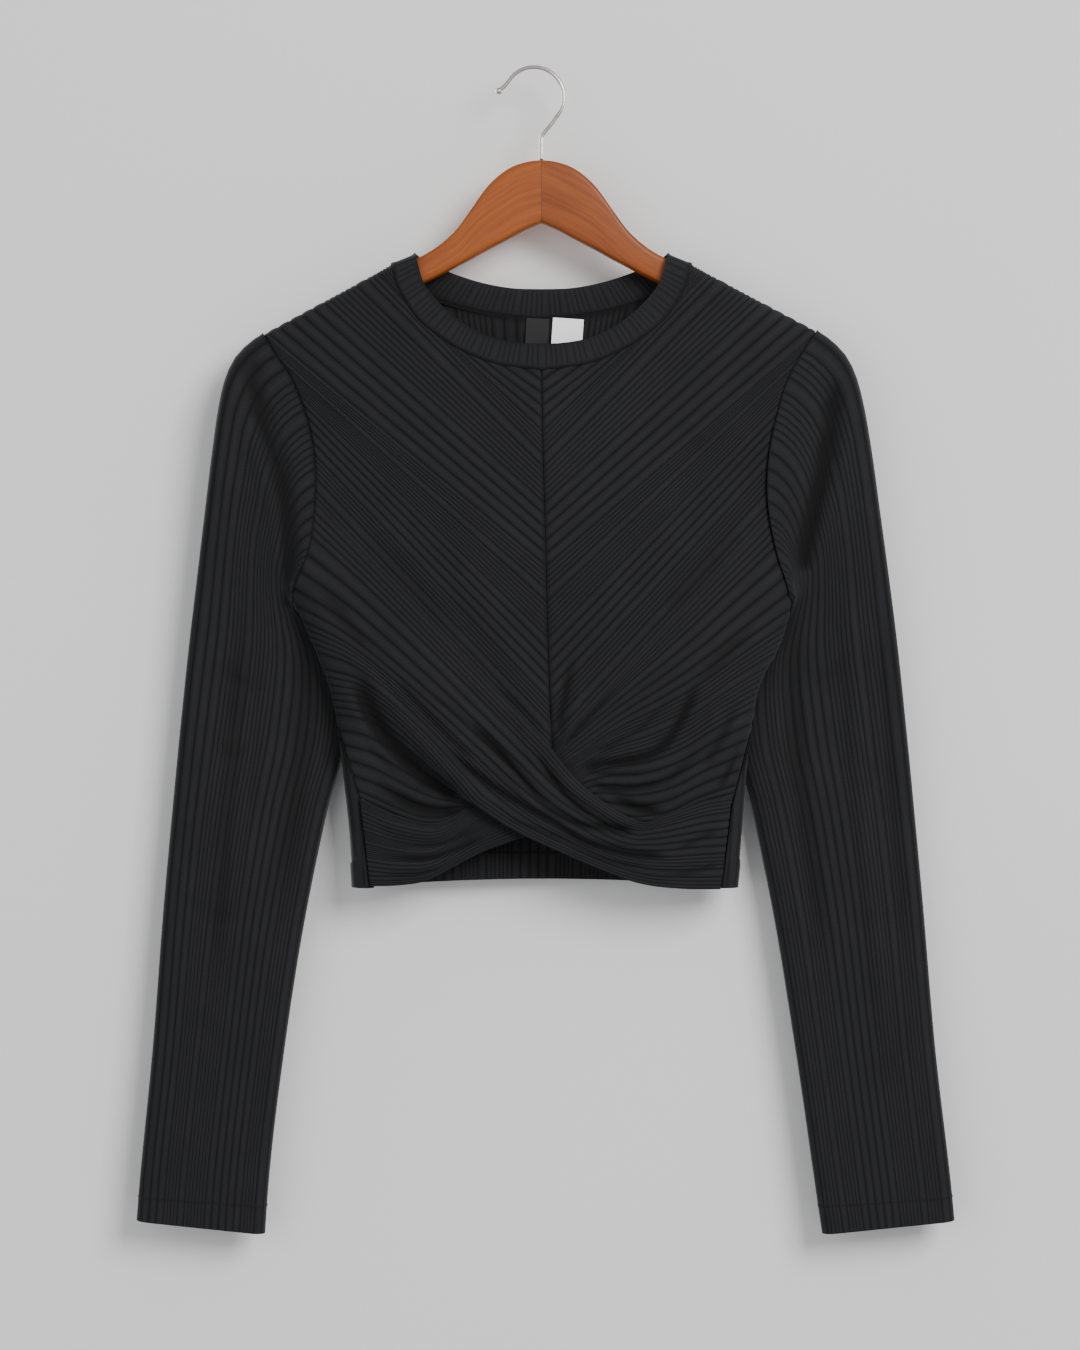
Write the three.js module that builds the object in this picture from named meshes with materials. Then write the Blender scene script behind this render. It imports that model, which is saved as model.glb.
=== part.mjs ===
// Long-sleeved cropped knit top on a wooden hanger. Millimetres, +Z up, the front faces -Y.
// The origin is the underside of the hook's wire, where a rail would carry it.
import * as THREE from "three";

// Cloth
const WALL = 1.5;
const SEAM = 0.3;
const RIB_HEIGHT = 0.9;
const HEM_EXTRA = 0.9;
const SHOULDER_DEPTH = 8.6;
const SHOULDER_ROLL = 7;
const SIDE_ROLL = 16;
const BODY_HALF = 165;

// Variegated rib: its repeat, counted across the ribs. Only the wide ribs are raised.
const RIB_REPEAT = [
  { ribs: 5, width: 6.1, raised: true },
  { ribs: 4, width: 2.7, raised: false },
  { ribs: 1, width: 6.4, raised: true },
  { ribs: 6, width: 2.8, raised: false },
];
// No rib line comes closer than this to an area's edge
const RIB_CLEAR = 1.2;

// Depth of the filled front and back at the middle, by height
const BODY_DEPTH = [
  { z: -130, front: 9, back: 8.6 },
  { z: -200, front: 12, back: 10.5 },
  { z: -260, front: 16.5, back: 12 },
  { z: -330, front: 20, back: 12.5 },
  { z: -461, front: 20, back: 12.5 },
  { z: -556, front: 16, back: 12 },
];

// Outlines seen from the front, as x, z
const NECK_LEFT = [
  [-99.6, -131.9], [-97.6, -143.5], [-91.8, -155.7], [-81.9, -169.7],
  [-68.3, -180.9], [-54.3, -189.7], [-32.3, -198.8], [0, -203.7],
];
const NECK_BACK = [
  [-99.6, -131.9], [-89.4, -144.2], [-75.1, -152.3], [-54.3, -159.1], [-30, -164.3], [0, -167.3],
];
const BAND_TOP_FRONT = [
  [-85.3, -126.1], [-79.9, -145.5], [-73.8, -154.4], [-61.5, -166.9],
  [-47.3, -176.8], [-32.3, -183.6], [-14, -187], [0, -187.5],
];
const BAND_TOP_BACK = [
  [-85.3, -126.1], [-73.1, -131.9], [-58.8, -137.8], [-40.5, -143.5], [-19.7, -147.2], [0, -147.8],
];
const SHOULDER_LEFT = [[-99.6, -131.9], [-188.7, -180.2]];
const SHOULDER_RIGHT = [[99.6, -131.9], [186.7, -178.2]];
const ARMHOLE_LEFT = [
  [-188.7, -180.2], [-177.8, -197.9], [-171.7, -206.7], [-161.1, -231.2], [-155.4, -253.6],
  [-153.3, -271], [-153.3, -290], [-156.3, -321], [-162.2, -339], [-170.3, -357],
];
const ARMHOLE_RIGHT = [
  [186.7, -178.2], [175.1, -195.8], [166.3, -212.8], [160.5, -232], [156.1, -250.5],
  [153.3, -271], [153.3, -295.8], [158.8, -326.4], [164.2, -344], [170.3, -360.4],
];
const SIDE_LEFT = [
  [-170.3, -357], [-157.8, -384.2], [-145.2, -415.5], [-138.7, -442.7],
  [-136.3, -461], [-130.2, -515.4], [-127.5, -555.6],
];
const SIDE_RIGHT = [
  [170.3, -360.4], [163, -388.1], [148.6, -417.2], [143.1, -442.7],
  [139.6, -475.3], [135, -533.8], [132.9, -555.6],
];
const CENTRE_SEAM = [[0, -203.7], [1, -258.4], [3.1, -333.2], [4.4, -387.6], [5.8, -428.4], [7.1, -461]];

// The twist: where the two fronts cross, and the edges that show
const TWIST_TOP = [7.1, -461];
const SASH_KNEE = [-46.6, -497.8];
const SASH_RIDGE = [[-133.6, -421.6], [-118, -428.4], [-85.5, -453.6], SASH_KNEE];
const SASH_LOW = [
  SASH_KNEE, [-20.7, -514.8], [11.9, -530.4], [39.8, -542.6], [67, -552.2], [94.2, -555.6], [121, -556.2],
];
const SASH_HIGH = [
  TWIST_TOP, [20.1, -477.4], [30.3, -487.6], [42.5, -497.1], [57.5, -506.6],
  [69.7, -510.4], [81.3, -507.3], [103, -499.1], [113.2, -495.7], [128.6, -493],
];
const FAN_LOW = [[-122.6, -500.5], [-99, -512], [-84, -515.5], [-74, -514.5], [-62, -505], SASH_KNEE];
const TAIL_HIGH = [TWIST_TOP, [-20, -482], SASH_KNEE, [-59.5, -507.6], [-72.4, -511.6], [-98.9, -505.9], [-122.4, -495]];
const TAIL_LOW = [[-14, -521], [-41.8, -531.8], [-62.2, -542.6], [-79.2, -550.8], [-96.2, -553.5], [-115.6, -554.2]];
const TUCKED_LOW = [[130.5, -499], [103, -506], [81.3, -515], [57.5, -516], [30, -508], [8, -512], [-14, -521]];

// Where the rib lines that part the panel's areas start on its outer edge, and what faces them
const NECK_TANGENT = { left: [-81.9, -169.7], right: [81.9, -169.7] };
const RIB_AT_SHOULDER = { left: [-112.1, -138.7], right: [112.1, -138.7] };
const RIB_AT_CENTRE = [1, -254.7];
const RIB_TO_TWIST = { left: [-153.4, -294.4], right: [153.3, -304.6] };
const RIB_TO_RIDGE = [-142.5, -424];
// How far the cloth stands out: near the twist, along the ridge, on the sash and tail, and where it tucks under
const UNDER_OFFSET = -2.5;
const OVER_OFFSET = 4.5;
const TWIST_REACH = 48;
const RIDGE_START = 0.15;
const SASH = { endOffset: 3, roll: 1.8, rollFade: 0.6 };
const FAN_TUCK = { offset: -1.5, deeper: -3, rate: 4, over: 0.3 };
const ROOT_TUCK = -1.5;
const TAIL = { offset: 2.4, from: 0.42, over: 0.25 };

// Steps along a rib line, closer where it rolls over the shoulder
const ALONG = [0, 0.016, 0.045, 0.12, 0.27, 0.5, 0.75, 1];
const TANGENT_STEP = 4;
const CORNER_ROWS = [0, 0.08, 0.2, 0.4, 0.7, 1];
const SASH_STEPS = 8;

// Rows of the back, as shares of its side from the hem up to the shoulder. Its side leaves the
// silhouette at the wrap's top row, bends at the next and ends at the hem, a little round to the front.
const BACK_ROWS = [0, 0.045, 0.05, 0.148, 0.287, 0.4, 0.528, 0.657, 0.782, 0.907, 0.972, 0.991, 1];
const HEM_ROWS = 2;
const [WRAP_BEND, WRAP_TOP, UNDERARM_ROW] = [0.148, 0.287, 0.528];
const WRAP_X = { left: [-121.8, -115.9], right: [128.4, 121.4] };
const BACK_HEM_SAG = -5;
const BACK_PHASE = 22;
// Lines that the back has beside its ribs, as shares of its width, and how near a rib line may come to one
const BACK_ROLL_LINES = [0.016, 0.984];
const NECK_CLOSE = [0, 0.004, 0.01];
const LINE_CLEAR = 0.0035;
// Points between a side fold and the seam to the front
const STRIP_SHARES = [0.3, 0.65, 1];

// Sleeve, left one: each ring's outer and inner point, the middle of its depth at both, half
// its depth, and how far it still follows the armhole's curve
const SLEEVE_LEFT = [
  { outer: [-189.3, -180.4], inner: [-171.7, -358.1], midOuter: 0, midInner: 0, half: 8.6, cap: 1 },
  { outer: [-198.2, -186.3], inner: [-172.3, -359.1], midOuter: 0, midInner: 0.8, half: 8.8, cap: 0.86 },
  { outer: [-208.4, -197.2], inner: [-172.6, -360.3], midOuter: 0, midInner: 1.8, half: 9, cap: 0.72 },
  { outer: [-214.5, -210.8], inner: [-172, -361.7], midOuter: 0, midInner: 3, half: 9.2, cap: 0.56 },
  { outer: [-218.5, -228], inner: [-171.4, -363.9], midOuter: 0.4, midInner: 4.6, half: 9.2, cap: 0.42 },
  { outer: [-222.6, -256], inner: [-169.4, -367.6], midOuter: 1, midInner: 8, half: 9, cap: 0.26 },
  { outer: [-227.8, -298], inner: [-162.2, -376.4], midOuter: 2, midInner: 14, half: 8.4, cap: 0.09 },
  { outer: [-232.4, -336], inner: [-151, -389.5], midOuter: 3, midInner: 18, half: 7.8, cap: 0 },
  { outer: [-238.5, -386], inner: [-137.5, -413], midOuter: 4.4, midInner: 20.2, half: 7.4, cap: 0 },
  { outer: [-245, -446], inner: [-134.5, -454], midOuter: 6, midInner: 18, half: 7.2, cap: 0 },
  { outer: [-250.5, -502], inner: [-147, -502], midOuter: 7, midInner: 13, half: 7.2, cap: 0 },
  { outer: [-256, -562], inner: [-159.6, -562], midOuter: 7, midInner: 9, half: 7.2, cap: 0 },
  { outer: [-263.8, -665], inner: [-176.2, -665], midOuter: 5.4, midInner: 6.2, half: 7.3, cap: 0 },
  { outer: [-273.4, -766.5], inner: [-188.2, -772.5], midOuter: 4, midInner: 4.4, half: 7.8, cap: 0 },
  { outer: [-274, -768], inner: [-188.2, -774], midOuter: 4, midInner: 4.4, half: 7.8, cap: 0 },
  { outer: [-274.6, -782.4], inner: [-189.4, -791.4], midOuter: 4, midInner: 4.4, half: 8, cap: 0 },
];
const CUFF_RINGS = 2;
// The right sleeve hangs in the same way, this much further out at each height
const RIGHT_OUTWARD = [
  { z: -180, by: -2.2 },
  { z: -260, by: 0.6 },
  { z: -360, by: 2.4 },
  { z: -560, by: 2.6 },
  { z: -690, by: 3.6 },
  { z: -780, by: 5.6 },
];
const RIGHT_INWARD = [
  { z: -357, by: 0.7 },
  { z: -420, by: -2 },
  { z: -520, by: -2.6 },
  { z: -640, by: -2.4 },
  { z: -740, by: -1.4 },
  { z: -792, by: 3 },
];
const SLEEVE_VALLEY = { left: [[-196.2, -222.4], [-170.3, -288.3], [-168.3, -329.8]], width: 9, depth: 2.6 };
SLEEVE_VALLEY.right = [[198.9, -219.6], [190.7, -270], [176.5, -333.2]];
const SLEEVE_FLAT = 98;
const SLEEVE_PHASE = { left: 8, right: 20 };
// Close to its two folds, as shares of its flat width, a sleeve has a line more and no raised rib
const SLEEVE_FOLD_LINE = 0.009;
const SLEEVE_PLAIN = 0.04;
const SLEEVE_GAP = 1;
const UNDERARM_EASE = { by: 0.8, power: 8, drop: 1.6 };
const WRAP_GAP = 0.8;
const BAND_GAP = 1.2;
const RIGHT_UNDERARM_DROP = { by: 3.2, from: -440, over: 60 };

// Neckband
const BAND_RIB = 6.3;
const BAND_RIB_HEIGHT = 0.7;
const BAND_LEAN = 0.95;

// Folds on the fronts: a line, how wide it reaches to each side, and how far it stands out
const FOLDS_OVER = [
  { line: [[-118, -431], [-90, -463], [-64, -481], [-52, -492]], width: 9, out: -3.4 },
  { line: [[-100, -436], [-70, -461], [-36, -498]], width: 9, out: 2.2 },
  { line: [[-52, -457.6], [-20.7, -487.6], [5.8, -508.6], [52, -521.6]], width: 6.5, out: -2.2 },
  { line: [[0, -506.6], [24.8, -518.8], [50.7, -527], [81.9, -531], [99, -528.4]], width: 6, out: -1.8 },
  { line: [[-60, -330], [-20, -400], [0, -448]], width: 16, out: 1.6 },
];
const FOLDS_UNDER = [
  { line: [[9, -466], [14, -444], [19, -421]], width: 7, out: -1.8 },
  { line: [[20, -464], [33, -444], [48, -418]], width: 7, out: -1.9 },
  { line: [[30, -463], [42, -450], [66, -433], [76, -415]], width: 7, out: -2.1 },
  { line: [[40, -474], [66, -468], [80, -460]], width: 6.5, out: -1.9 },
  { line: [[-70, -517], [-95, -524], [-112, -520]], width: 7, out: -1.6 },
  { line: [[-40, -515], [-66, -530], [-100, -541]], width: 7, out: -1.6 },
];

// Hanger: wooden bar by x, with its top and bottom height, and the wire hook
const BAR_THICK = 12;
const BAR_ARC_STEPS = 5;
const BAR = [
  { x: 0, top: -61.5, low: -104.2 },
  { x: 9.2, top: -62.6, low: -108.1 },
  { x: 22.8, top: -67.6, low: -115.3 },
  { x: 36.4, top: -79, low: -122.4 },
  { x: 50, top: -97.6, low: -129.9 },
  { x: 58, top: -108.5, low: -134 },
  { x: 66, top: -116.4, low: -138.4 },
  { x: 79.2, top: -125.6, low: -145.2 },
  { x: 90, top: -130.6, low: -150.4 },
  { x: 99.6, top: -135.2, low: -154.2 },
  { x: 125, top: -148.3, low: -166 },
  { x: 155, top: -164.6, low: -180.2 },
  { x: 175, top: -175.7, low: -189.4 },
  { x: 180, top: -179, low: -190.6, half: 4.8 },
  { x: 182.5, top: -182.4, low: -189.4, half: 2.6 },
];
const WIRE = 2.6;
const HOOK_BALL = 4.4;
// Rings of the ball, as shares of its radius from its middle
const BALL_RINGS = [-0.8, -0.45, 0, 0.45, 0.8, 0.97];
const HOOK_CENTRE = [-5.1, -18.4];
const HOOK_RADIUS = 20.35;
const HOOK_ARC_DEG = [-42, 148];
const HOOK_ARC_STEPS = 20;
const HOOK_STEM = [[0, -61.1], [0, -50], [0.3, -45.4], [2.4, -42], [6.2, -37.4]];
const HOOK_TIP = [[-25, -10.8], [-28.9, -14.3]];
const WIRE_SIDES = 7;

// Labels inside the back neck: where the top middle is, the size, and the lean in degrees
const LABELS = [
  { name: "label_black", x: -2.4, width: 15.5, length: 43, lean: 3, colour: 0x141416 },
  { name: "label_white", x: 18.4, width: 21, length: 46, lean: 4, colour: 0xe9e9e6 },
];
const LABEL_THICK = 0.6;
const LABEL_DEPTH = 7.3;
const LABEL_TOP = -168.2;

const KNIT = { color: 0x17171a, roughness: 0.95, metalness: 0 };
const WOOD = { color: 0x9c5a2c, roughness: 0.42, metalness: 0 };
const STEEL = { color: 0xb9bbbd, roughness: 0.28, metalness: 1 };

const lerp = (a, b, f) => a + (b - a) * f;
const mix = (p, q, f) => p.map((value, i) => lerp(value, q[i], f));
const clamp01 = (v) => Math.min(1, Math.max(0, v));
const smooth = (v) => clamp01(v) ** 2 * (3 - 2 * clamp01(v));
const mirror = (points) => points.map(([x, z]) => [-x, z]);

// A line through points that is read by its share of the length
class Route {
  constructor(points) {
    this.points = points;
    this.reach = [0];
    for (let i = 1; i < points.length; i++) {
      this.reach.push(this.reach[i - 1] + Math.hypot(points[i][0] - points[i - 1][0], points[i][1] - points[i - 1][1]));
    }
    this.length = this.reach[points.length - 1];
  }

  static bent(points, perSpan = 8) {
    const curve = new THREE.CatmullRomCurve3(points.map(([x, z]) => new THREE.Vector3(x, 0, z)), false, "centripetal");
    const spots = curve.getPoints(perSpan * (points.length - 1));
    return new Route(spots.map((p) => [p.x, p.z]));
  }

  at(share) {
    const want = clamp01(share) * this.length;
    let i = 1;
    while (i < this.reach.length - 1 && this.reach[i] < want) i++;
    return mix(this.points[i - 1], this.points[i], (want - this.reach[i - 1]) / (this.reach[i] - this.reach[i - 1]));
  }

  nearest(point) {
    let best = { distance: Infinity, share: 0 };
    for (let i = 1; i < this.points.length; i++) {
      const [a, b] = [this.points[i - 1], this.points[i]];
      const [ux, uz] = [b[0] - a[0], b[1] - a[1]];
      const f = clamp01(((point[0] - a[0]) * ux + (point[1] - a[1]) * uz) / (ux * ux + uz * uz));
      const distance = Math.hypot(a[0] + ux * f - point[0], a[1] + uz * f - point[1]);
      if (distance < best.distance) {
        best = { distance, share: lerp(this.reach[i - 1], this.reach[i], f) / this.length };
      }
    }
    return best;
  }

  snap(point) {
    return this.at(this.nearest(point).share);
  }

  // The stretch from one point's share of the length to another's
  between(from, to) {
    const [a, b] = [this.nearest(from).share, this.nearest(to).share];
    return (f) => this.at(lerp(a, b, f));
  }
}

const byHeight = (table, z, column) => {
  const last = table.length - 1;
  if (z >= table[0].z) return table[0][column];
  if (z <= table[last].z) return table[last][column];
  const i = table.findIndex((row) => row.z <= z);
  return lerp(table[i - 1][column], table[i][column], (z - table[i - 1].z) / (table[i].z - table[i - 1].z));
};

const SHOULDERS = [new Route([...SHOULDER_LEFT]), new Route([...SHOULDER_RIGHT])];
const SIDE = { left: Route.bent(SIDE_LEFT), right: Route.bent(SIDE_RIGHT) };
const SIDES = [SIDE.left, SIDE.right];
const ARMHOLE = { left: Route.bent(ARMHOLE_LEFT), right: Route.bent(ARMHOLE_RIGHT) };
const NECK = { front: Route.bent(NECK_LEFT), back: Route.bent(NECK_BACK) };

// A route's point at a height, where its heights only fall
function atHeight(route, z) {
  const i = Math.max(1, route.points.findIndex((p) => p[1] <= z));
  const [p, q] = [route.points[i - 1], route.points[i]];
  return mix(p, q, clamp01((z - p[1]) / (q[1] - p[1])));
}

// Where the body's silhouette and armhole are, at a share of the way from the hem to the shoulder
function sidePoint(hand, share) {
  const [side, armhole] = [SIDE[hand], ARMHOLE[hand]];
  const [hem, underarm, shoulder] = [side.at(1)[1], side.at(0)[1], armhole.at(0)[1]];
  if (share >= 1) return armhole.at(0);
  if (share > UNDERARM_ROW) {
    return atHeight(armhole, lerp(underarm, shoulder, (share - UNDERARM_ROW) / (1 - UNDERARM_ROW)));
  }
  return share <= 0 ? side.at(1) : atHeight(side, lerp(hem, underarm, share / UNDERARM_ROW));
}

// The seam at the front of each side, from the wrap's top down to the hem
const FRONT_SEAM = Object.fromEntries(["left", "right"].map((hand) => {
  const [bend, end] = WRAP_X[hand];
  return [hand, [sidePoint(hand, WRAP_TOP), [bend, sidePoint(hand, WRAP_BEND)[1]], [end, sidePoint(hand, 0)[1]]]];
}));
// The armhole on the back runs straight from row to row
const BACK_ARMHOLE = Object.fromEntries(["left", "right"].map((hand) => {
  const rows = BACK_ROWS.filter((share) => share >= UNDERARM_ROW).reverse();
  return [hand, new Route(rows.map((share) => sidePoint(hand, share)))];
}));
const rolled = (distance, radius) => Math.sqrt(1 - (1 - clamp01(distance / radius)) ** 2);

// How far the cloth's outer face stands from the seam plane, on the front or the back
function bodyDepth([x, z], face) {
  const middle = byHeight(BODY_DEPTH, z, face);
  const share = clamp01(1 - (x / BODY_HALF) ** 2);
  const full = SHOULDER_DEPTH + (middle - SHOULDER_DEPTH) * share;
  const toShoulder = Math.min(...SHOULDERS.map((line) => line.nearest([x, z]).distance));
  const toSide = Math.min(...SIDES.map((line) => line.nearest([x, z]).distance));
  return full * rolled(toShoulder, SHOULDER_ROLL) * rolled(toSide, SIDE_ROLL);
}

function foldDepth(folds, point) {
  let out = 0;
  for (const fold of folds) {
    const distance = fold.route.nearest(point).distance / fold.width;
    if (distance < 1) out += fold.out * (1 - distance ** 2) ** 2;
  }
  return out;
}
for (const fold of [...FOLDS_OVER, ...FOLDS_UNDER]) fold.route = new Route(fold.line);

// A wall of cloth from its outer points: squares share a point wherever their corners meet
class Cloth {
  constructor(side = 0, flipped = false) {
    this.side = side;
    this.flipped = flipped;
    this.points = [];
    this.rises = [];
    this.held = [];
    this.index = new Map();
    this.faces = [];
  }

  add(key, spot, rise, held) {
    if (!this.index.has(key)) {
      this.index.set(key, this.points.length);
      this.points.push(new THREE.Vector3(...spot));
      this.rises.push(rise);
      this.held.push(held);
    }
    return this.index.get(key);
  }

  // A point of a panel: known by its place seen from the front, and held on its side of the seam plane
  heightPoint([x, z], y, rise = 0, held = true) {
    return this.add(`${Math.round(x * 200)},${Math.round(z * 200)}`, [x, y, z], rise, held);
  }

  spatialPoint(spot, rise = 0) {
    return this.add(`at ${spot.map((v) => Math.round(v * 200)).join()}`, spot, rise, false);
  }

  face(a, b, c) {
    if (a === b || b === c || c === a) return;
    this.faces.push(this.flipped ? [a, c, b] : [a, b, c]);
  }

  // rows of point numbers, and true when each row closes on itself
  grid(rows, closed = false) {
    for (let i = 0; i + 1 < rows.length; i++) {
      const steps = rows[i].length - (closed ? 0 : 1);
      for (let j = 0; j < steps; j++) {
        const next = (j + 1) % rows[i].length;
        this.face(rows[i][j], rows[i + 1][j], rows[i + 1][next]);
        this.face(rows[i][j], rows[i + 1][next], rows[i][next]);
      }
    }
  }

  geometry() {
    const normals = this.points.map(() => new THREE.Vector3());
    for (const [a, b, c] of this.faces) {
      const ab = this.points[b].clone().sub(this.points[a]);
      const normal = ab.cross(this.points[c].clone().sub(this.points[a]));
      for (const i of [a, b, c]) normals[i].add(normal);
    }
    const count = this.points.length;
    const spots = [];
    this.points.forEach((p, i) => spots.push(p.clone().addScaledVector(normals[i].normalize(), this.rises[i])));
    this.points.forEach((p, i) => spots.push(p.clone().addScaledVector(normals[i], -WALL)));
    spots.forEach((p, i) => {
      if (this.held[i % count]) p.y = this.side * Math.max(SEAM / 2, this.side * p.y);
    });
    const used = new Set(this.faces.flatMap(([a, b, c]) => [`${a},${b}`, `${b},${c}`, `${c},${a}`]));
    const faces = [];
    for (const [a, b, c] of this.faces) {
      faces.push([a, b, c], [a + count, c + count, b + count]);
      for (const [p, q] of [[a, b], [b, c], [c, a]]) {
        if (!used.has(`${q},${p}`)) faces.push([q, p, p + count], [q, p + count, q + count]);
      }
    }
    const geometry = new THREE.BufferGeometry();
    geometry.setAttribute("position", new THREE.Float32BufferAttribute(spots.flatMap((p) => [p.x, p.y, p.z]), 3));
    geometry.setIndex(faces.flat());
    return geometry;
  }
}

const group = new THREE.Group();
function addMesh(name, geometry, finish) {
  const flat = geometry.toNonIndexed();
  flat.computeVertexNormals();
  const mesh = new THREE.Mesh(flat, new THREE.MeshStandardMaterial(finish));
  mesh.name = name;
  group.add(mesh);
}

// Lines across the ribs: where each wide rib's foot and top lie, from one distance to another
function ribLines(from, to, phase = 0) {
  const lines = [];
  const repeat = RIB_REPEAT.reduce((sum, band) => sum + band.ribs * band.width, 0);
  for (let start = from - ((from + phase) % repeat) - repeat; start < to; start += repeat) {
    let u = start;
    for (const band of RIB_REPEAT) {
      if (!band.raised) {
        lines.push({ u, rise: 0 });
        u += band.ribs * band.width;
        continue;
      }
      for (let rib = 0; rib < band.ribs; rib++) {
        lines.push({ u, rise: 0 }, { u: u + band.width / 2, rise: RIB_HEIGHT });
        u += band.width;
      }
    }
  }
  const inside = lines.filter((line) => line.u > from + RIB_CLEAR && line.u < to - RIB_CLEAR);
  return [{ u: from, rise: 0 }, ...inside, { u: to, rise: 0 }];
}

// A patch between four edges, each a function of its share from 0 to 1
function patch({ top, bottom, left, right }, f, t) {
  const [a, b, c, d] = [top(0), top(1), bottom(0), bottom(1)];
  const [p, q, r, s] = [top(t), bottom(t), left(f), right(f)];
  return [0, 1].map((i) => {
    const corners = (1 - f) * ((1 - t) * a[i] + t * b[i]) + f * ((1 - t) * c[i] + t * d[i]);
    return (1 - f) * p[i] + f * q[i] + (1 - t) * r[i] + t * s[i] - corners;
  });
}

// Fronts. Each has the same areas: a corner beside the neck, one below it, the main part, the
// root that gathers into the twist, the sash or tail past it, and for the over front a fan below.
const still = (point) => () => point;
const segment = (p, q) => (f) => mix(p, q, f);
const along = (route) => (f) => route.at(f);
const fromTwist = ([x, z]) => Math.hypot(x - TWIST_TOP[0], z - TWIST_TOP[1]);
const nearTwist = (point) => smooth(1 - fromTwist(point) / TWIST_REACH);

function addArea(cloth, edges, ribs, steps, offset, folds) {
  const span = ribs[ribs.length - 1].u - ribs[0].u;
  const rows = ribs.map(({ u, rise }) => {
    const f = (u - ribs[0].u) / span;
    return steps.map((t) => {
      const spot = patch(edges, f, t);
      const depth = bodyDepth(spot, "front") + offset(spot, f, t) + foldDepth(folds, spot);
      return cloth.heightPoint(spot, -depth, rise);
    });
  });
  cloth.grid(rows);
}

const shares = (count) => Array.from({ length: count + 1 }, (_, i) => i / count);
const beforeTangent = ALONG.slice(0, TANGENT_STEP + 1).map((t) => t / ALONG[TANGENT_STEP]);
const afterTangent = ALONG.slice(TANGENT_STEP).map((t) => (t - ALONG[TANGENT_STEP]) / (1 - ALONG[TANGENT_STEP]));

// The areas above the twist, which both fronts have. Distances across the ribs start at the neck.
const ACROSS = { neck: 36, main: 182, root: 250, fan: 296 };

function addUpperFront(cloth, hand, outline, centre, neck, offset, folds) {
  const [shoulder, toTwist] = [outline.snap(RIB_AT_SHOULDER[hand]), outline.snap(RIB_TO_TWIST[hand])];
  const [tangent, split] = [neck.snap(NECK_TANGENT[hand]), centre.snap(RIB_AT_CENTRE)];
  const twist = centre.at(1);
  const firstRib = (t) => {
    const part = ALONG[TANGENT_STEP];
    return t < part ? mix(shoulder, tangent, t / part) : mix(tangent, split, (t - part) / (1 - part));
  };
  const main = {
    top: firstRib,
    bottom: segment(toTwist, twist),
    left: outline.between(shoulder, toTwist),
    right: centre.between(split, twist),
  };
  const below = {
    top: still(neck.at(1)),
    bottom: segment(tangent, split),
    left: neck.between(neck.at(1), tangent),
    right: centre.between(neck.at(1), split),
  };
  const corner = {
    top: still(neck.at(0)),
    bottom: segment(shoulder, tangent),
    left: outline.between(neck.at(0), shoulder),
    right: neck.between(neck.at(0), tangent),
  };
  addArea(cloth, main, ribLines(ACROSS.neck, ACROSS.main), ALONG, offset, folds);
  addArea(cloth, below, ribLines(0, ACROSS.neck), afterTangent, offset, folds);
  const cornerRows = CORNER_ROWS.map((u) => ({ u, rise: 0 }));
  addArea(cloth, corner, cornerRows, beforeTangent, offset, folds);
}

function frontOutline(hand) {
  const shoulder = hand === "left" ? SHOULDER_LEFT : SHOULDER_RIGHT;
  const seam = FRONT_SEAM[hand];
  const side = SIDE[hand].points.filter(([, z]) => z > seam[0][1] + 2);
  return new Route([...shoulder, ...ARMHOLE[hand].points.slice(1), ...side.slice(1), ...seam]);
}

function centreSeam(shift) {
  return Route.bent(CENTRE_SEAM.map(([x, z]) => [x + shift, z]), 4);
}

function frontOver() {
  const cloth = new Cloth(-1);
  const outline = frontOutline("left");
  const centre = centreSeam(-SEAM / 2);
  const neck = new Route([...NECK.front.points.slice(0, -1), centre.at(0)]);
  const twist = centre.at(1);
  addUpperFront(cloth, "left", outline, centre, neck, (p) => OVER_OFFSET * nearTwist(p), FOLDS_OVER);

  const [toTwist, toRidge, fanEnd] = [RIB_TO_TWIST.left, RIB_TO_RIDGE, FAN_LOW[0]].map((p) => outline.snap(p));
  const ridge = Route.bent([toRidge, ...SASH_RIDGE.slice(1)]);
  const lift = (t) => OVER_OFFSET * smooth((t - RIDGE_START) / (1 - RIDGE_START));
  const root = {
    top: segment(toTwist, twist),
    bottom: along(ridge),
    left: outline.between(toTwist, toRidge),
    right: segment(twist, SASH_KNEE),
  };
  const rootOffset = (p, f, t) => Math.max(OVER_OFFSET * nearTwist(p), lift(t) * smooth(2 * f));
  const steps = ALONG;
  addArea(cloth, root, ribLines(ACROSS.main, ACROSS.root), steps, rootOffset, FOLDS_OVER);

  const high = Route.bent([twist, ...SASH_HIGH.slice(1)], 4);
  const low = Route.bent(SASH_LOW, 4);
  const sash = { top: along(high), bottom: along(low), left: segment(twist, SASH_KNEE) };
  sash.right = segment(high.at(1), low.at(1));
  const sashOffset = (p, f, t) => {
    const roll = SASH.roll * Math.sin(Math.PI * f) * (1 - SASH.rollFade * t);
    return lerp(OVER_OFFSET, SASH.endOffset, t) + roll;
  };
  addArea(cloth, sash, ribLines(ACROSS.main, ACROSS.root), shares(SASH_STEPS), sashOffset, FOLDS_OVER);

  const fanLow = Route.bent([fanEnd, ...FAN_LOW.slice(1)], 4);
  const fan = { top: along(ridge), bottom: along(fanLow), right: still(SASH_KNEE) };
  fan.left = outline.between(toRidge, fanEnd);
  const tucked = (t) => FAN_TUCK.offset + FAN_TUCK.deeper * smooth(FAN_TUCK.rate * t);
  const fanOffset = (p, f, t) => lerp(lift(t), tucked(t), smooth(f / FAN_TUCK.over));
  addArea(cloth, fan, ribLines(ACROSS.root, ACROSS.fan), steps, fanOffset, FOLDS_OVER);
  return cloth;
}

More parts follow.
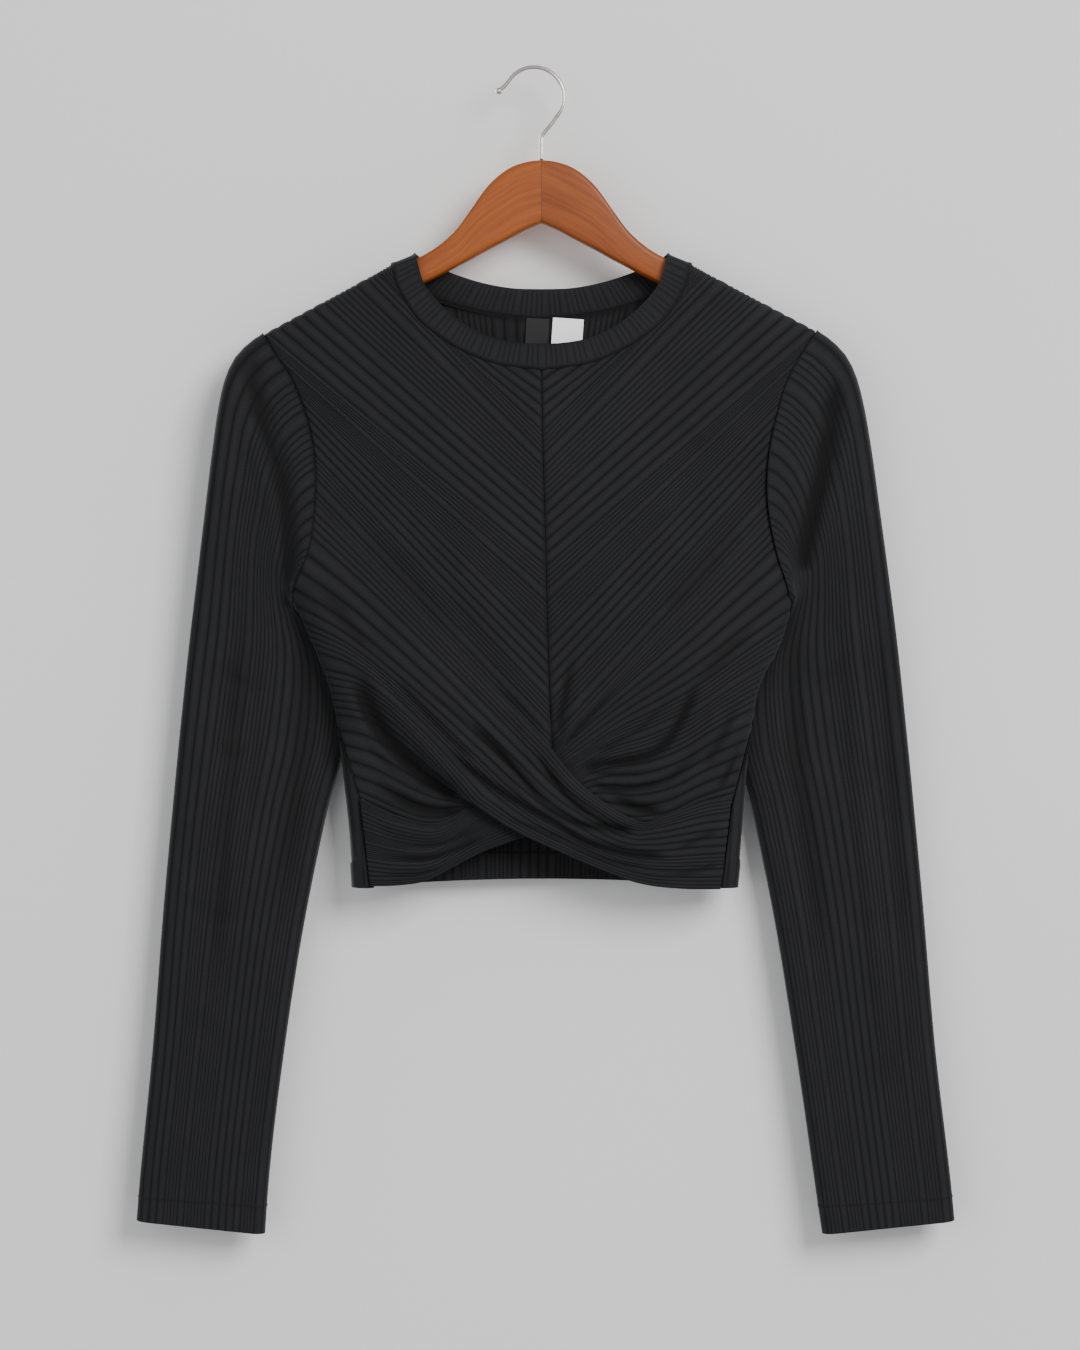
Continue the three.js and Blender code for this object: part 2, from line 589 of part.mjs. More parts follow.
function frontUnder() {
  const cloth = new Cloth(-1, true);
  const outline = frontOutline("right");
  const centre = centreSeam(SEAM / 2);
  const neck = new Route([...mirror(NECK.front.points.slice(0, -1)), centre.at(0)]);
  const twist = centre.at(1);
  addUpperFront(cloth, "right", outline, centre, neck, (p) => UNDER_OFFSET * nearTwist(p), FOLDS_UNDER);

  const [toTwist, toTucked] = [RIB_TO_TWIST.right, TUCKED_LOW[0]].map((p) => outline.snap(p));
  const tucked = Route.bent([toTucked, ...TUCKED_LOW.slice(1)], 4);
  const root = {
    top: segment(toTwist, twist),
    bottom: along(tucked),
    left: outline.between(toTwist, toTucked),
    right: segment(twist, tucked.at(1)),
  };
  const rootOffset = (p, f, t) => lerp(ROOT_TUCK * f ** 3, UNDER_OFFSET, smooth(t));
  addArea(cloth, root, ribLines(ACROSS.main, ACROSS.fan), ALONG, rootOffset, FOLDS_UNDER);

  const [high, low] = [Route.bent([twist, ...TAIL_HIGH.slice(1)], 4), Route.bent(TAIL_LOW, 4)];
  const tail = { top: along(high), bottom: along(low), left: segment(twist, tucked.at(1)) };
  tail.right = segment(high.at(1), low.at(1));
  const tailOffset = (p, f, t) => lerp(UNDER_OFFSET, TAIL.offset, smooth((t - TAIL.from) / TAIL.over));
  addArea(cloth, tail, ribLines(ACROSS.main, ACROSS.fan), shares(SASH_STEPS), tailOffset, FOLDS_UNDER);
  return cloth;
}

// Back: one panel whose sides come a little round to the front, down to the hem
function backTop(x) {
  const [left, right] = [SHOULDER_LEFT[1], SHOULDER_RIGHT[1]];
  const edge = NECK_LEFT[0][0];
  if (x <= edge) return mix(left, SHOULDER_LEFT[0], (x - left[0]) / (edge - left[0]));
  if (x >= -edge) return mix(SHOULDER_RIGHT[0], right, (x + edge) / (right[0] + edge));
  const want = -Math.abs(x);
  const points = NECK.back.points;
  const i = Math.max(1, points.findIndex((p) => p[0] >= want));
  const [p, q] = [points[i - 1], points[i]];
  return [x, lerp(p[1], q[1], (want - p[0]) / (q[0] - p[0]))];
}

// Lines up the back: the ribs, and close ones where it rolls at its sides and beside the neck
function backLines(width, neckShares) {
  const lines = ribLines(0, width, BACK_PHASE).map(({ u, rise }) => ({ t: u / width, rise }));
  const [left, right] = neckShares;
  const besideNeck = [...NECK_CLOSE.map((d) => left + d), ...NECK_CLOSE.map((d) => right - d).reverse()];
  for (const at of [...BACK_ROLL_LINES, ...besideNeck]) {
    const close = lines.findIndex(({ t }) => Math.abs(t - at) < LINE_CLEAR && t > 0 && t < 1);
    if (close > 0 && !neckShares.includes(lines[close].t)) lines.splice(close, 1);
    lines.push({ t: at, rise: 0 });
  }
  return lines.sort((a, b) => a.t - b.t);
}

function backPanel() {
  const cloth = new Cloth(1);
  const [hemLeft, hemRight] = [sidePoint("left", 0), sidePoint("right", 0)];
  const [topLeft, topRight] = [sidePoint("left", 1)[0], sidePoint("right", 1)[0]];
  const edges = {
    top: (t) => {
      const [x, z] = mix(hemLeft, hemRight, t);
      return [x, z - BACK_HEM_SAG * Math.sin(Math.PI * t)];
    },
    bottom: (t) => backTop(lerp(topLeft, topRight, t)),
    left: (f) => sidePoint("left", f),
    right: (f) => sidePoint("right", f),
  };
  const neckShares = [NECK_LEFT[0][0], -NECK_LEFT[0][0]].map((x) => (x - topLeft) / (topRight - topLeft));
  const lines = backLines(hemRight[0] - hemLeft[0], neckShares);
  const rows = BACK_ROWS.map((f, row) => {
    const hem = row < HEM_ROWS ? HEM_EXTRA : 0;
    return lines.map(({ t, rise }) => {
      const spot = patch(edges, f, t);
      return cloth.heightPoint(spot, bodyDepth(spot, "back"), rise + hem, f >= WRAP_TOP);
    });
  });
  cloth.grid(rows);
  const wrapped = rows.filter((row, i) => BACK_ROWS[i] <= WRAP_TOP);
  addStrip(cloth, wrapped.map((row) => row[0]).reverse(), new Route(FRONT_SEAM.left), -WRAP_GAP);
  addStrip(cloth, wrapped.map((row) => row[row.length - 1]), new Route(FRONT_SEAM.right), WRAP_GAP);
  return cloth;
}

// The stretch between a side fold and the seam to the front
function addStrip(cloth, numbers, seam, gap) {
  const rows = numbers.map((number) => {
    const { x, z } = cloth.points[number];
    if (z > seam.at(0)[1] - 0.01) return [number, number, number, number];
    const end = atHeight(seam, z)[0] + gap;
    const rest = STRIP_SHARES.map((f) => {
      const spot = [lerp(x, end, f), z];
      return cloth.spatialPoint([spot[0], -bodyDepth(spot, "front"), z]);
    });
    return [number, ...rest];
  });
  cloth.grid(rows);
}

// Sleeves: rings from the armhole's own curve down to the cuff, each a flat tube
function sleeveRings(hand) {
  if (hand === "left") return SLEEVE_LEFT;
  return SLEEVE_LEFT.map((ring) => {
    const [ox, oz] = ring.outer;
    const [ix, iz] = ring.inner;
    const drop = RIGHT_UNDERARM_DROP.by * clamp01((iz - RIGHT_UNDERARM_DROP.from) / RIGHT_UNDERARM_DROP.over);
    return {
      ...ring,
      outer: [-ox + byHeight(RIGHT_OUTWARD, oz, "by"), oz],
      inner: [-ix + byHeight(RIGHT_INWARD, iz, "by"), iz - drop],
    };
  });
}

function sleeve(hand) {
  const left = hand === "left";
  const cloth = new Cloth(0, left);
  const outward = (left ? -1 : 1) * SLEEVE_GAP;
  const moved = (route) => new Route(route.points.map(([x, z]) => [x + outward, z]));
  const armholes = { front: moved(ARMHOLE[hand]), back: moved(BACK_ARMHOLE[hand]) };
  const valley = new Route(SLEEVE_VALLEY[hand]);
  const across = ribLines(0, SLEEVE_FLAT, SLEEVE_PHASE[hand]).map(({ u, rise }) => ({ t: u / SLEEVE_FLAT, rise }));
  for (const line of across) line.rise *= Math.min(line.t, 1 - line.t) > SLEEVE_PLAIN ? 1 : 0;
  across.splice(1, 0, { t: SLEEVE_FOLD_LINE, rise: 0 });
  across.splice(across.length - 1, 0, { t: 1 - SLEEVE_FOLD_LINE, rise: 0 });
  const around = [
    ...across.map((line) => ({ ...line, face: "front" })),
    ...across.slice(1, -1).reverse().map((line) => ({ ...line, face: "back" })),
  ];
  const rings = sleeveRings(hand);
  const rows = rings.map((ring, number) => {
    const hem = number >= rings.length - CUFF_RINGS ? HEM_EXTRA : 0;
    const width = Math.hypot(ring.outer[0] - ring.inner[0], ring.outer[1] - ring.inner[1]);
    return around.map(({ t, rise, face }) => {
      const [ax, az] = armholes[face].at(t);
      const low = UNDERARM_EASE.by * t ** UNDERARM_EASE.power;
      const onArmhole = [ax + Math.sign(outward) * low, az - UNDERARM_EASE.drop * low];
      const chord = mix(rings[0].outer, rings[0].inner, t);
      const straight = mix(ring.outer, ring.inner, t);
      const spot = straight.map((v, i) => v + (onArmhole[i] - chord[i]) * ring.cap);
      const own = ring.half * rolled(Math.min(t, 1 - t) * width, ring.half);
      const half = lerp(own, bodyDepth(onArmhole, face), ring.cap);
      const middle = lerp(ring.midOuter, ring.midInner, t);
      const toValley = valley.nearest(spot).distance / SLEEVE_VALLEY.width;
      const dip = toValley < 1 ? SLEEVE_VALLEY.depth * (1 - toValley ** 2) ** 2 * (1 - ring.cap ** 4) : 0;
      const y = face === "front" ? middle - half + dip : middle + half;
      return cloth.spatialPoint([spot[0], y, spot[1]], rise + hem);
    });
  });
  cloth.grid(rows, true);
  return cloth;
}

// Neckband: a ribbed strip that stands on the neck's seam all round
function neckband() {
  const cloth = new Cloth(0, true);
  const whole = (half) => new Route([...half, ...mirror(half).reverse().slice(1)]);
  const halves = [
    { low: whole(NECK.front.points), top: Route.bent(whole(BAND_TOP_FRONT).points), face: "front", sign: -1 },
    { low: whole(NECK.back.points), top: Route.bent(whole(BAND_TOP_BACK).points), face: "back", sign: 1 },
  ];
  const [low, high] = [[], []];
  halves.forEach(({ low: seam, top, face, sign }) => {
    const ribs = 2 * Math.round(seam.length / BAND_RIB);
    for (let i = 0; i < ribs; i++) {
      const share = face === "front" ? i / ribs : 1 - i / ribs;
      const [foot, head] = [seam.at(share), top.at(share)];
      const depth = sign * bodyDepth(foot, face);
      const rise = i % 2 ? BAND_RIB_HEIGHT : 0;
      const lifted = mix(foot, head, BAND_GAP / Math.hypot(head[0] - foot[0], head[1] - foot[1]));
      low.push(cloth.spatialPoint([lifted[0], depth, lifted[1]], rise));
      high.push(cloth.spatialPoint([head[0], depth * BAND_LEAN, head[1]], rise));
    }
  });
  cloth.grid([high, low], true);
  return cloth;
}

// Solids swept through rings of points, each ring the same number, closed at both ends
function sweep(rings) {
  const sides = rings[0].length;
  const spots = rings.flat();
  const faces = [];
  for (let i = 0; i + 1 < rings.length; i++) {
    for (let j = 0; j < sides; j++) {
      const [a, b] = [i * sides + j, i * sides + ((j + 1) % sides)];
      faces.push([a, b, b + sides], [a, b + sides, a + sides]);
    }
  }
  const last = (rings.length - 1) * sides;
  for (let j = 1; j + 1 < sides; j++) {
    faces.push([0, j + 1, j], [last, last + j, last + j + 1]);
  }
  const geometry = new THREE.BufferGeometry();
  geometry.setAttribute("position", new THREE.Float32BufferAttribute(spots.flatMap((p) => [p.x, p.y, p.z]), 3));
  geometry.setIndex(faces.flat());
  return geometry;
}

function hangerBar() {
  const stations = [...BAR.slice(1).reverse().map((row) => ({ ...row, x: -row.x })), ...BAR];
  const rings = stations.map(({ x, top, low, half = BAR_THICK / 2 }) => {
    const ring = [];
    const round = Math.min(half, (top - low) / 2);
    for (let i = 0; i <= BAR_ARC_STEPS; i++) {
      const angle = (Math.PI * i) / BAR_ARC_STEPS;
      ring.push(new THREE.Vector3(x, half * Math.cos(angle), top - round + round * Math.sin(angle)));
    }
    for (let i = 0; i <= BAR_ARC_STEPS; i++) {
      const angle = (Math.PI * i) / BAR_ARC_STEPS;
      ring.push(new THREE.Vector3(x, -half * Math.cos(angle), low + round - round * Math.sin(angle)));
    }
    return ring;
  });
  return sweep(rings);
}

function hook() {
  const path = HOOK_STEM.map(([x, z]) => ({ x, z, r: WIRE / 2 }));
  const [from, to] = HOOK_ARC_DEG.map(THREE.MathUtils.degToRad);
  for (let i = 0; i <= HOOK_ARC_STEPS; i++) {
    const angle = lerp(from, to, i / HOOK_ARC_STEPS);
    const spot = { x: HOOK_CENTRE[0] + HOOK_RADIUS * Math.cos(angle), z: HOOK_CENTRE[1] + HOOK_RADIUS * Math.sin(angle) };
    path.push({ ...spot, r: WIRE / 2 });
  }
  const [bend, tip] = HOOK_TIP;
  path.push({ x: bend[0], z: bend[1], r: WIRE / 2 });
  const run = Math.hypot(tip[0] - bend[0], tip[1] - bend[1]);
  const ball = HOOK_BALL / 2;
  for (const along of BALL_RINGS) {
    const f = 1 + (along * ball) / run;
    const [x, z] = mix(bend, tip, f);
    path.push({ x, z, r: ball * Math.sqrt(1 - along ** 2) });
  }
  const rings = path.map(({ x, z, r }, i) => {
    const [p, q] = [path[Math.max(0, i - 1)], path[Math.min(path.length - 1, i + 1)]];
    const direction = new THREE.Vector2(q.x - p.x, q.z - p.z).normalize();
    return shares(WIRE_SIDES).slice(0, -1).map((share) => {
      const angle = 2 * Math.PI * share;
      const across = r * Math.cos(angle);
      return new THREE.Vector3(x + direction.y * across, r * Math.sin(angle), z - direction.x * across);
    });
  });
  return sweep(rings);
}

function label({ x, width, length, lean }) {
  const box = new THREE.BoxGeometry(width, LABEL_THICK, length);
  box.translate(0, 0, -length / 2);
  box.rotateY(THREE.MathUtils.degToRad(lean));
  return box.translate(x, LABEL_DEPTH, LABEL_TOP);
}

addMesh("front_over", frontOver().geometry(), KNIT);
addMesh("front_under", frontUnder().geometry(), KNIT);
addMesh("back", backPanel().geometry(), KNIT);
addMesh("sleeve_left", sleeve("left").geometry(), KNIT);
addMesh("sleeve_right", sleeve("right").geometry(), KNIT);
addMesh("neckband", neckband().geometry(), KNIT);
for (const row of LABELS) addMesh(row.name, label(row), { ...KNIT, color: row.colour, roughness: 0.6 });
addMesh("hanger_arms", hangerBar(), WOOD);
addMesh("hanger_hook", hook(), STEEL);

export default group;
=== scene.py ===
"""Dresses the crop top and its hanger: rib-knit panels, sleeves, neckband, labels, wooden bar and wire hook.

Sizes are in millimetres, seen from the front: X to the right, Z up from the underside of the hook's wire,
and depth as distance from the seam plane. They become metres where a mesh is made.
"""

import logging
import math
from dataclasses import dataclass, field
from enum import Enum
from typing import Callable, Dict, Iterable, List, Sequence, Tuple

import bpy
import numpy as np
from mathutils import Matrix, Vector


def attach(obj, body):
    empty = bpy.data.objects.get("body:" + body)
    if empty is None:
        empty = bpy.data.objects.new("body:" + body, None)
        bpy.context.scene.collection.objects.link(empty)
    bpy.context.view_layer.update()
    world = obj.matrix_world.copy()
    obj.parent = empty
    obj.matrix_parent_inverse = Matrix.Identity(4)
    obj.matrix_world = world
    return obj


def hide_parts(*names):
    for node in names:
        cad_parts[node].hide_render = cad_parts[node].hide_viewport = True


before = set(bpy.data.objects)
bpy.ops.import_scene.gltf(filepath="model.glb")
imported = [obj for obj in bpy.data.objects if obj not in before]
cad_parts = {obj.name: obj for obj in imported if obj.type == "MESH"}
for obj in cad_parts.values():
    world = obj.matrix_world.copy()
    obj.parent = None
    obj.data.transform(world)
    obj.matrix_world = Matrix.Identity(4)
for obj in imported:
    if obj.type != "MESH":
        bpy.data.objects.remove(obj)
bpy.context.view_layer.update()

LOG = logging.getLogger("crop_top")
MM = 0.001
LOOK = "_look"
Pair = Tuple[float, float]
Colour = Tuple[float, float, float]
Curve = Callable[[np.ndarray], np.ndarray]
Offset = Callable[[np.ndarray, np.ndarray, np.ndarray], np.ndarray]


# Sizes that the garment shares with its solids


@dataclass(frozen=True)
class ClothSize:
    """Thickness, rib and roll sizes of the knit, and how far seams hold it still."""

    wall: float = 1.2
    rib_wide: float = 0.75
    rib_narrow: float = 0.55
    hem_extra: float = 0.9
    shoulder_depth: float = 8.6
    shoulder_roll: float = 7.0
    side_roll: float = 16.0
    seam_gap: float = 0.3
    tuck_reach: float = 1.7
    tuck_depth: float = 0.6
    tuck_calm: float = 0.75
    loose_side: float = 14.0
    loose_shoulder: float = 12.0
    half_chest: float = 165.0
    body_length: float = 428.0


@dataclass(frozen=True)
class RibBand:
    """A run of like ribs: how many, how wide each is, and whether they are the wide kind."""

    ribs: int
    width: float
    wide: bool


class Hand(Enum):
    """The viewer's left or right side of the garment."""

    LEFT = "left"
    RIGHT = "right"


class Face(Enum):
    """The side of the seam plane that a wall of cloth lies on."""

    FRONT = "front"
    BACK = "back"


CLOTH = ClothSize()
RIB_REPEAT = (
    RibBand(5, 6.1, True),
    RibBand(4, 2.7, False),
    RibBand(1, 6.4, True),
    RibBand(6, 2.8, False),
)
SLEEVE_REPEAT = (
    RibBand(5, 5.7, True),
    RibBand(4, 2.55, False),
    RibBand(1, 5.6, True),
    RibBand(6, 2.6, False),
)
BAND_REPEAT = (
    RibBand(4, 3.6, False),
    RibBand(1, 6.3, True),
    RibBand(2, 3.6, False),
    RibBand(1, 6.3, True),
)

# Depth of the filled front and back at the middle: height, front, back
BODY_DEPTH = np.array(
    [
        (-556.0, 16.0, 12.0),
        (-461.0, 20.0, 12.5),
        (-330.0, 20.0, 12.5),
        (-260.0, 16.5, 12.0),
        (-200.0, 12.0, 10.5),
        (-130.0, 9.0, 8.6),
    ]
)

NECK_LEFT = [
    (-99.6, -131.9), (-97.6, -143.5), (-91.8, -155.7), (-81.9, -169.7),
    (-68.3, -180.9), (-54.3, -189.7), (-32.3, -198.8), (0.0, -203.7),
]
NECK_BACK = [
    (-99.6, -131.9), (-89.4, -144.2), (-75.1, -152.3), (-54.3, -159.1), (-30.0, -164.3), (0.0, -167.3),
]
BAND_TOP_FRONT = [
    (-85.3, -126.1), (-79.9, -145.5), (-73.8, -154.4), (-61.5, -166.9),
    (-47.3, -176.8), (-32.3, -183.6), (-14.0, -187.0), (0.0, -187.5),
]
BAND_TOP_BACK = [
    (-85.3, -126.1), (-73.1, -131.9), (-58.8, -137.8), (-40.5, -143.5), (-19.7, -147.2), (0.0, -147.8),
]
SHOULDER = {
    Hand.LEFT: [(-99.6, -131.9), (-188.7, -180.2)],
    Hand.RIGHT: [(99.6, -131.9), (186.7, -178.2)],
}
ARMHOLE_POINTS = {
    Hand.LEFT: [
        (-188.7, -180.2), (-177.8, -197.9), (-171.7, -206.7), (-161.1, -231.2), (-155.4, -253.6),
        (-153.3, -271.0), (-153.3, -290.0), (-156.3, -321.0), (-162.2, -339.0), (-170.3, -357.0),
    ],
    Hand.RIGHT: [
        (186.7, -178.2), (175.1, -195.8), (166.3, -212.8), (160.5, -232.0), (156.1, -250.5),
        (153.3, -271.0), (153.3, -295.8), (158.8, -326.4), (164.2, -344.0), (170.3, -360.4),
    ],
}
SIDE_POINTS = {
    Hand.LEFT: [
        (-170.3, -357.0), (-157.8, -384.2), (-145.2, -415.5), (-138.7, -442.7),
        (-136.3, -461.0), (-130.2, -515.4), (-127.5, -555.6),
    ],
    Hand.RIGHT: [
        (170.3, -360.4), (163.0, -388.1), (148.6, -417.2), (143.1, -442.7),
        (139.6, -475.3), (135.0, -533.8), (132.9, -555.6),
    ],
}
CENTRE_POINTS = [(0.0, -203.7), (1.0, -258.4), (3.1, -333.2), (4.4, -387.6), (5.8, -428.4), (7.1, -461.0)]

# The twist: where the two fronts cross, and the edges that show
SASH_KNEE = (-46.6, -497.8)
SASH_RIDGE = [(-118.0, -428.4), (-85.5, -453.6), SASH_KNEE]
SASH_LOW = [
    SASH_KNEE, (-20.7, -514.8), (11.9, -530.4), (39.8, -542.6),
    (67.0, -552.2), (94.2, -555.6), (121.0, -556.2),
]
SASH_HIGH = [
    (20.1, -477.4), (30.3, -487.6), (42.5, -497.1), (57.5, -506.6),
    (69.7, -510.4), (81.3, -507.3), (103.0, -499.1), (113.2, -495.7), (128.6, -493.0),
]
FAN_LOW = [
    (-122.6, -502.5), (-99.0, -513.5), (-82.0, -518.0), (-68.0, -516.5), (-56.0, -508.5), SASH_KNEE,
]
TAIL_HIGH = [
    (-20.0, -482.0), SASH_KNEE, (-59.5, -507.6), (-72.4, -511.6), (-98.9, -505.9), (-122.4, -495.0),
]
TAIL_LOW = [
    (-14.0, -521.0), (-41.8, -531.8), (-62.2, -542.6),
    (-79.2, -550.8), (-96.2, -553.5), (-115.6, -554.2),
]
TUCKED_LOW = [
    (130.5, -499.0), (103.0, -506.0), (81.3, -515.0), (57.5, -516.0),
    (30.0, -508.0), (8.0, -512.0), (-14.0, -521.0),
]
NECK_TANGENT = {Hand.LEFT: (-81.9, -169.7), Hand.RIGHT: (81.9, -169.7)}
RIB_AT_SHOULDER = {Hand.LEFT: (-112.1, -138.7), Hand.RIGHT: (112.1, -138.7)}
RIB_AT_CENTRE = (1.0, -254.7)
RIB_TO_TWIST = {Hand.LEFT: (-153.4, -294.4), Hand.RIGHT: (153.3, -304.6)}
RIB_TO_RIDGE = (-142.5, -424.0)
TANGENT_SHARE = 0.27
UNDER_OFFSET = -2.5
OVER_OFFSET = 4.5

# The back's side: shares of its height where the front seam leaves the silhouette and where it bends
WRAP_BEND, WRAP_TOP, UNDERARM_SHARE = 0.148, 0.287, 0.528
WRAP_X = {Hand.LEFT: (-121.8, -115.9), Hand.RIGHT: (128.4, 121.4)}
BACK_HEM_SAG = -5.0


@dataclass(frozen=True)
class SleeveRing:
    """One ring of the left sleeve: its outer and inner point, the depth of its middle there, half its
    thickness, and the share in which it follows the armhole.
    """

    outer: Pair
    inner: Pair
    mid_outer: float
    mid_inner: float
    half: float
    cap: float


SLEEVE_RINGS = [
    SleeveRing((-189.0, -180.3), (-170.9, -357.4), 0.0, 0.0, 8.6, 1.0),
    SleeveRing((-198.2, -186.3), (-172.3, -359.1), 0.0, 0.8, 8.8, 0.86),
    SleeveRing((-208.4, -197.2), (-172.6, -360.3), 0.0, 1.8, 9.0, 0.72),
    SleeveRing((-214.5, -210.8), (-172.0, -361.7), 0.0, 3.0, 9.2, 0.56),
    SleeveRing((-218.5, -228.0), (-171.4, -363.9), 0.4, 4.6, 9.2, 0.42),
    SleeveRing((-222.6, -256.0), (-169.4, -367.6), 1.0, 8.0, 9.0, 0.26),
    SleeveRing((-227.8, -298.0), (-162.2, -376.4), 2.0, 14.0, 8.4, 0.09),
    SleeveRing((-232.4, -336.0), (-151.0, -389.5), 3.0, 18.0, 7.8, 0.0),
    SleeveRing((-238.5, -386.0), (-137.5, -413.0), 4.4, 20.2, 7.4, 0.0),
    SleeveRing((-245.0, -446.0), (-134.5, -454.0), 6.0, 18.0, 7.2, 0.0),
    SleeveRing((-250.5, -502.0), (-147.0, -502.0), 7.0, 13.0, 7.2, 0.0),
    SleeveRing((-256.0, -562.0), (-159.6, -562.0), 7.0, 9.0, 7.2, 0.0),
    SleeveRing((-263.8, -665.0), (-176.2, -665.0), 5.4, 6.2, 7.3, 0.0),
    SleeveRing((-273.4, -766.5), (-188.2, -772.5), 4.0, 4.4, 7.8, 0.0),
    SleeveRing((-274.6, -782.4), (-189.4, -791.4), 4.0, 4.4, 8.0, 0.0),
]
CAP_RING, HEM_RING = 7, 13
# The right sleeve hangs in the same way, this much further out at each height: height, by
RIGHT_OUTWARD = [(-780.0, 5.6), (-690.0, 3.6), (-560.0, 2.6), (-360.0, 2.4), (-260.0, 0.6), (-180.0, -2.2)]
RIGHT_INWARD = [(-792.0, 3.0), (-740.0, -1.4), (-640.0, -2.4), (-520.0, -2.6), (-420.0, -2.0), (-357.0, 0.7)]
RIGHT_UNDERARM_DROP, RIGHT_DROP_FROM, RIGHT_DROP_FADE = 3.2, -440.0, 60.0
SLEEVE_FLAT = 98.0


@dataclass(frozen=True)
class Fold:
    """A crease: the line it runs along, its reach to each side, and how far it stands out."""

    line: Sequence[Pair]
    width: float
    out: float


FOLDS_OVER = (
    Fold(
        [(-128.0, -408.0), (-112.0, -443.0), (-93.0, -467.0),
         (-70.0, -485.0), (-52.0, -495.0)],
        10.0, -4.4,
    ),
    Fold([(-124.0, -400.0), (-104.0, -428.0), (-83.0, -453.0), (-56.0, -482.0), (-30.0, -504.0)], 7.0, 2.0),
    Fold(
        [(-70.0, -456.5), (-35.0, -485.7), (11.6, -512.9),
         (31.0, -524.5), (58.0, -532.0), (86.0, -534.0)],
        5.0, -2.6,
    ),
    Fold(
        [(-52.5, -439.0), (-19.5, -474.0), (3.9, -501.2),
         (27.2, -512.9), (50.5, -515.8), (66.0, -519.0)],
        5.0, -2.7,
    ),
    Fold([(-9.0, -457.0), (7.7, -481.8), (23.3, -499.3), (42.7, -511.9), (62.1, -515.8)], 4.2, -2.5),
    Fold([(3.0, -466.0), (16.0, -482.5), (31.0, -495.5), (48.0, -506.5), (68.0, -513.5)], 5.0, 2.0),
    Fold(
        [(-118.0, -484.0), (-104.0, -492.0), (-80.0, -502.5),
         (-62.0, -504.0), (-52.0, -499.0)],
        7.0, -2.6,
    ),
    Fold([(-60.0, -330.0), (-20.0, -400.0), (0.0, -448.0)], 16.0, 1.6),
)
FINE_FOLDS_OVER = (
    Fold([(-34.0, -505.0), (6.0, -519.0), (44.0, -537.0), (72.0, -543.0)], 3.8, -1.4),
    Fold([(85.5, -534.2), (101.0, -524.5), (124.3, -514.8)], 3.8, -1.6),
    Fold([(79.6, -547.8), (104.9, -544.0), (124.3, -536.6)], 3.8, -1.6),
    Fold([(60.0, -538.0), (84.0, -540.5), (104.0, -535.0)], 3.4, 1.0),
    Fold([(-22.0, -460.0), (-2.0, -484.0), (18.0, -502.0), (44.0, -513.0)], 3.6, 1.1),
    Fold([(-36.0, -462.0), (-8.0, -492.0), (30.0, -518.5), (72.0, -526.0)], 4.0, 1.2),
    Fold([(96.0, -508.0), (112.0, -504.0), (127.0, -505.0)], 4.0, 1.0),
    Fold([(-126.0, -452.0), (-98.0, -478.0), (-70.0, -494.0)], 4.5, -1.2),
    Fold([(-124.0, -468.0), (-98.0, -486.0), (-78.0, -494.0)], 4.0, 1.0),
    Fold([(-104.0, -408.0), (-76.0, -440.0), (-44.0, -472.0)], 4.4, -1.5),
    Fold([(-80.0, -420.0), (-40.0, -452.0), (-14.0, -478.0)], 4.6, -1.0),
    Fold([(-40.0, -412.0), (-16.0, -434.0), (2.0, -455.0)], 4.0, -1.2),
    Fold([(-66.0, -400.0), (-34.0, -428.0), (-6.0, -452.0)], 5.5, 0.9),
    Fold([(-140.0, -392.0), (-124.0, -404.0), (-104.0, -424.0)], 6.0, 0.9),
    Fold([(-154.0, -346.0), (-140.0, -366.0), (-116.0, -398.0)], 8.0, -1.4),
    Fold([(-132.0, -300.0), (-96.0, -340.0), (-62.0, -382.0)], 12.0, -0.9),
)
FOLDS_UNDER = (
    Fold([(22.0, -392.0), (16.0, -424.0), (10.0, -455.0)], 5.0, -2.3),
    Fold([(54.0, -416.0), (31.0, -441.0), (12.0, -463.0)], 4.4, -2.3),
    Fold([(108.0, -408.0), (96.0, -438.0), (78.0, -463.0), (48.0, -471.5), (22.0, -474.0)], 6.0, -3.0),
    Fold([(74.0, -477.0), (47.0, -478.5), (24.0, -478.0)], 3.0, -1.8),
    Fold([(112.0, -459.0), (87.0, -481.0), (61.0, -488.5), (42.0, -488.0), (29.0, -481.5)], 4.2, -2.2),
    Fold([(43.0, -493.0), (60.0, -500.0), (84.0, -505.5)], 5.5, -3.0),
    Fold([(137.0, -450.0), (129.0, -472.0), (117.0, -493.0)], 4.4, -2.4),
    Fold([(-122.0, -503.0), (-95.0, -515.0), (-72.0, -518.5), (-56.0, -514.0), (-44.0, -505.0)], 6.0, 1.8),
    Fold([(-114.7, -534.2), (-79.7, -536.2), (-56.4, -529.4), (-36.0, -519.7)], 4.4, -2.0),
)
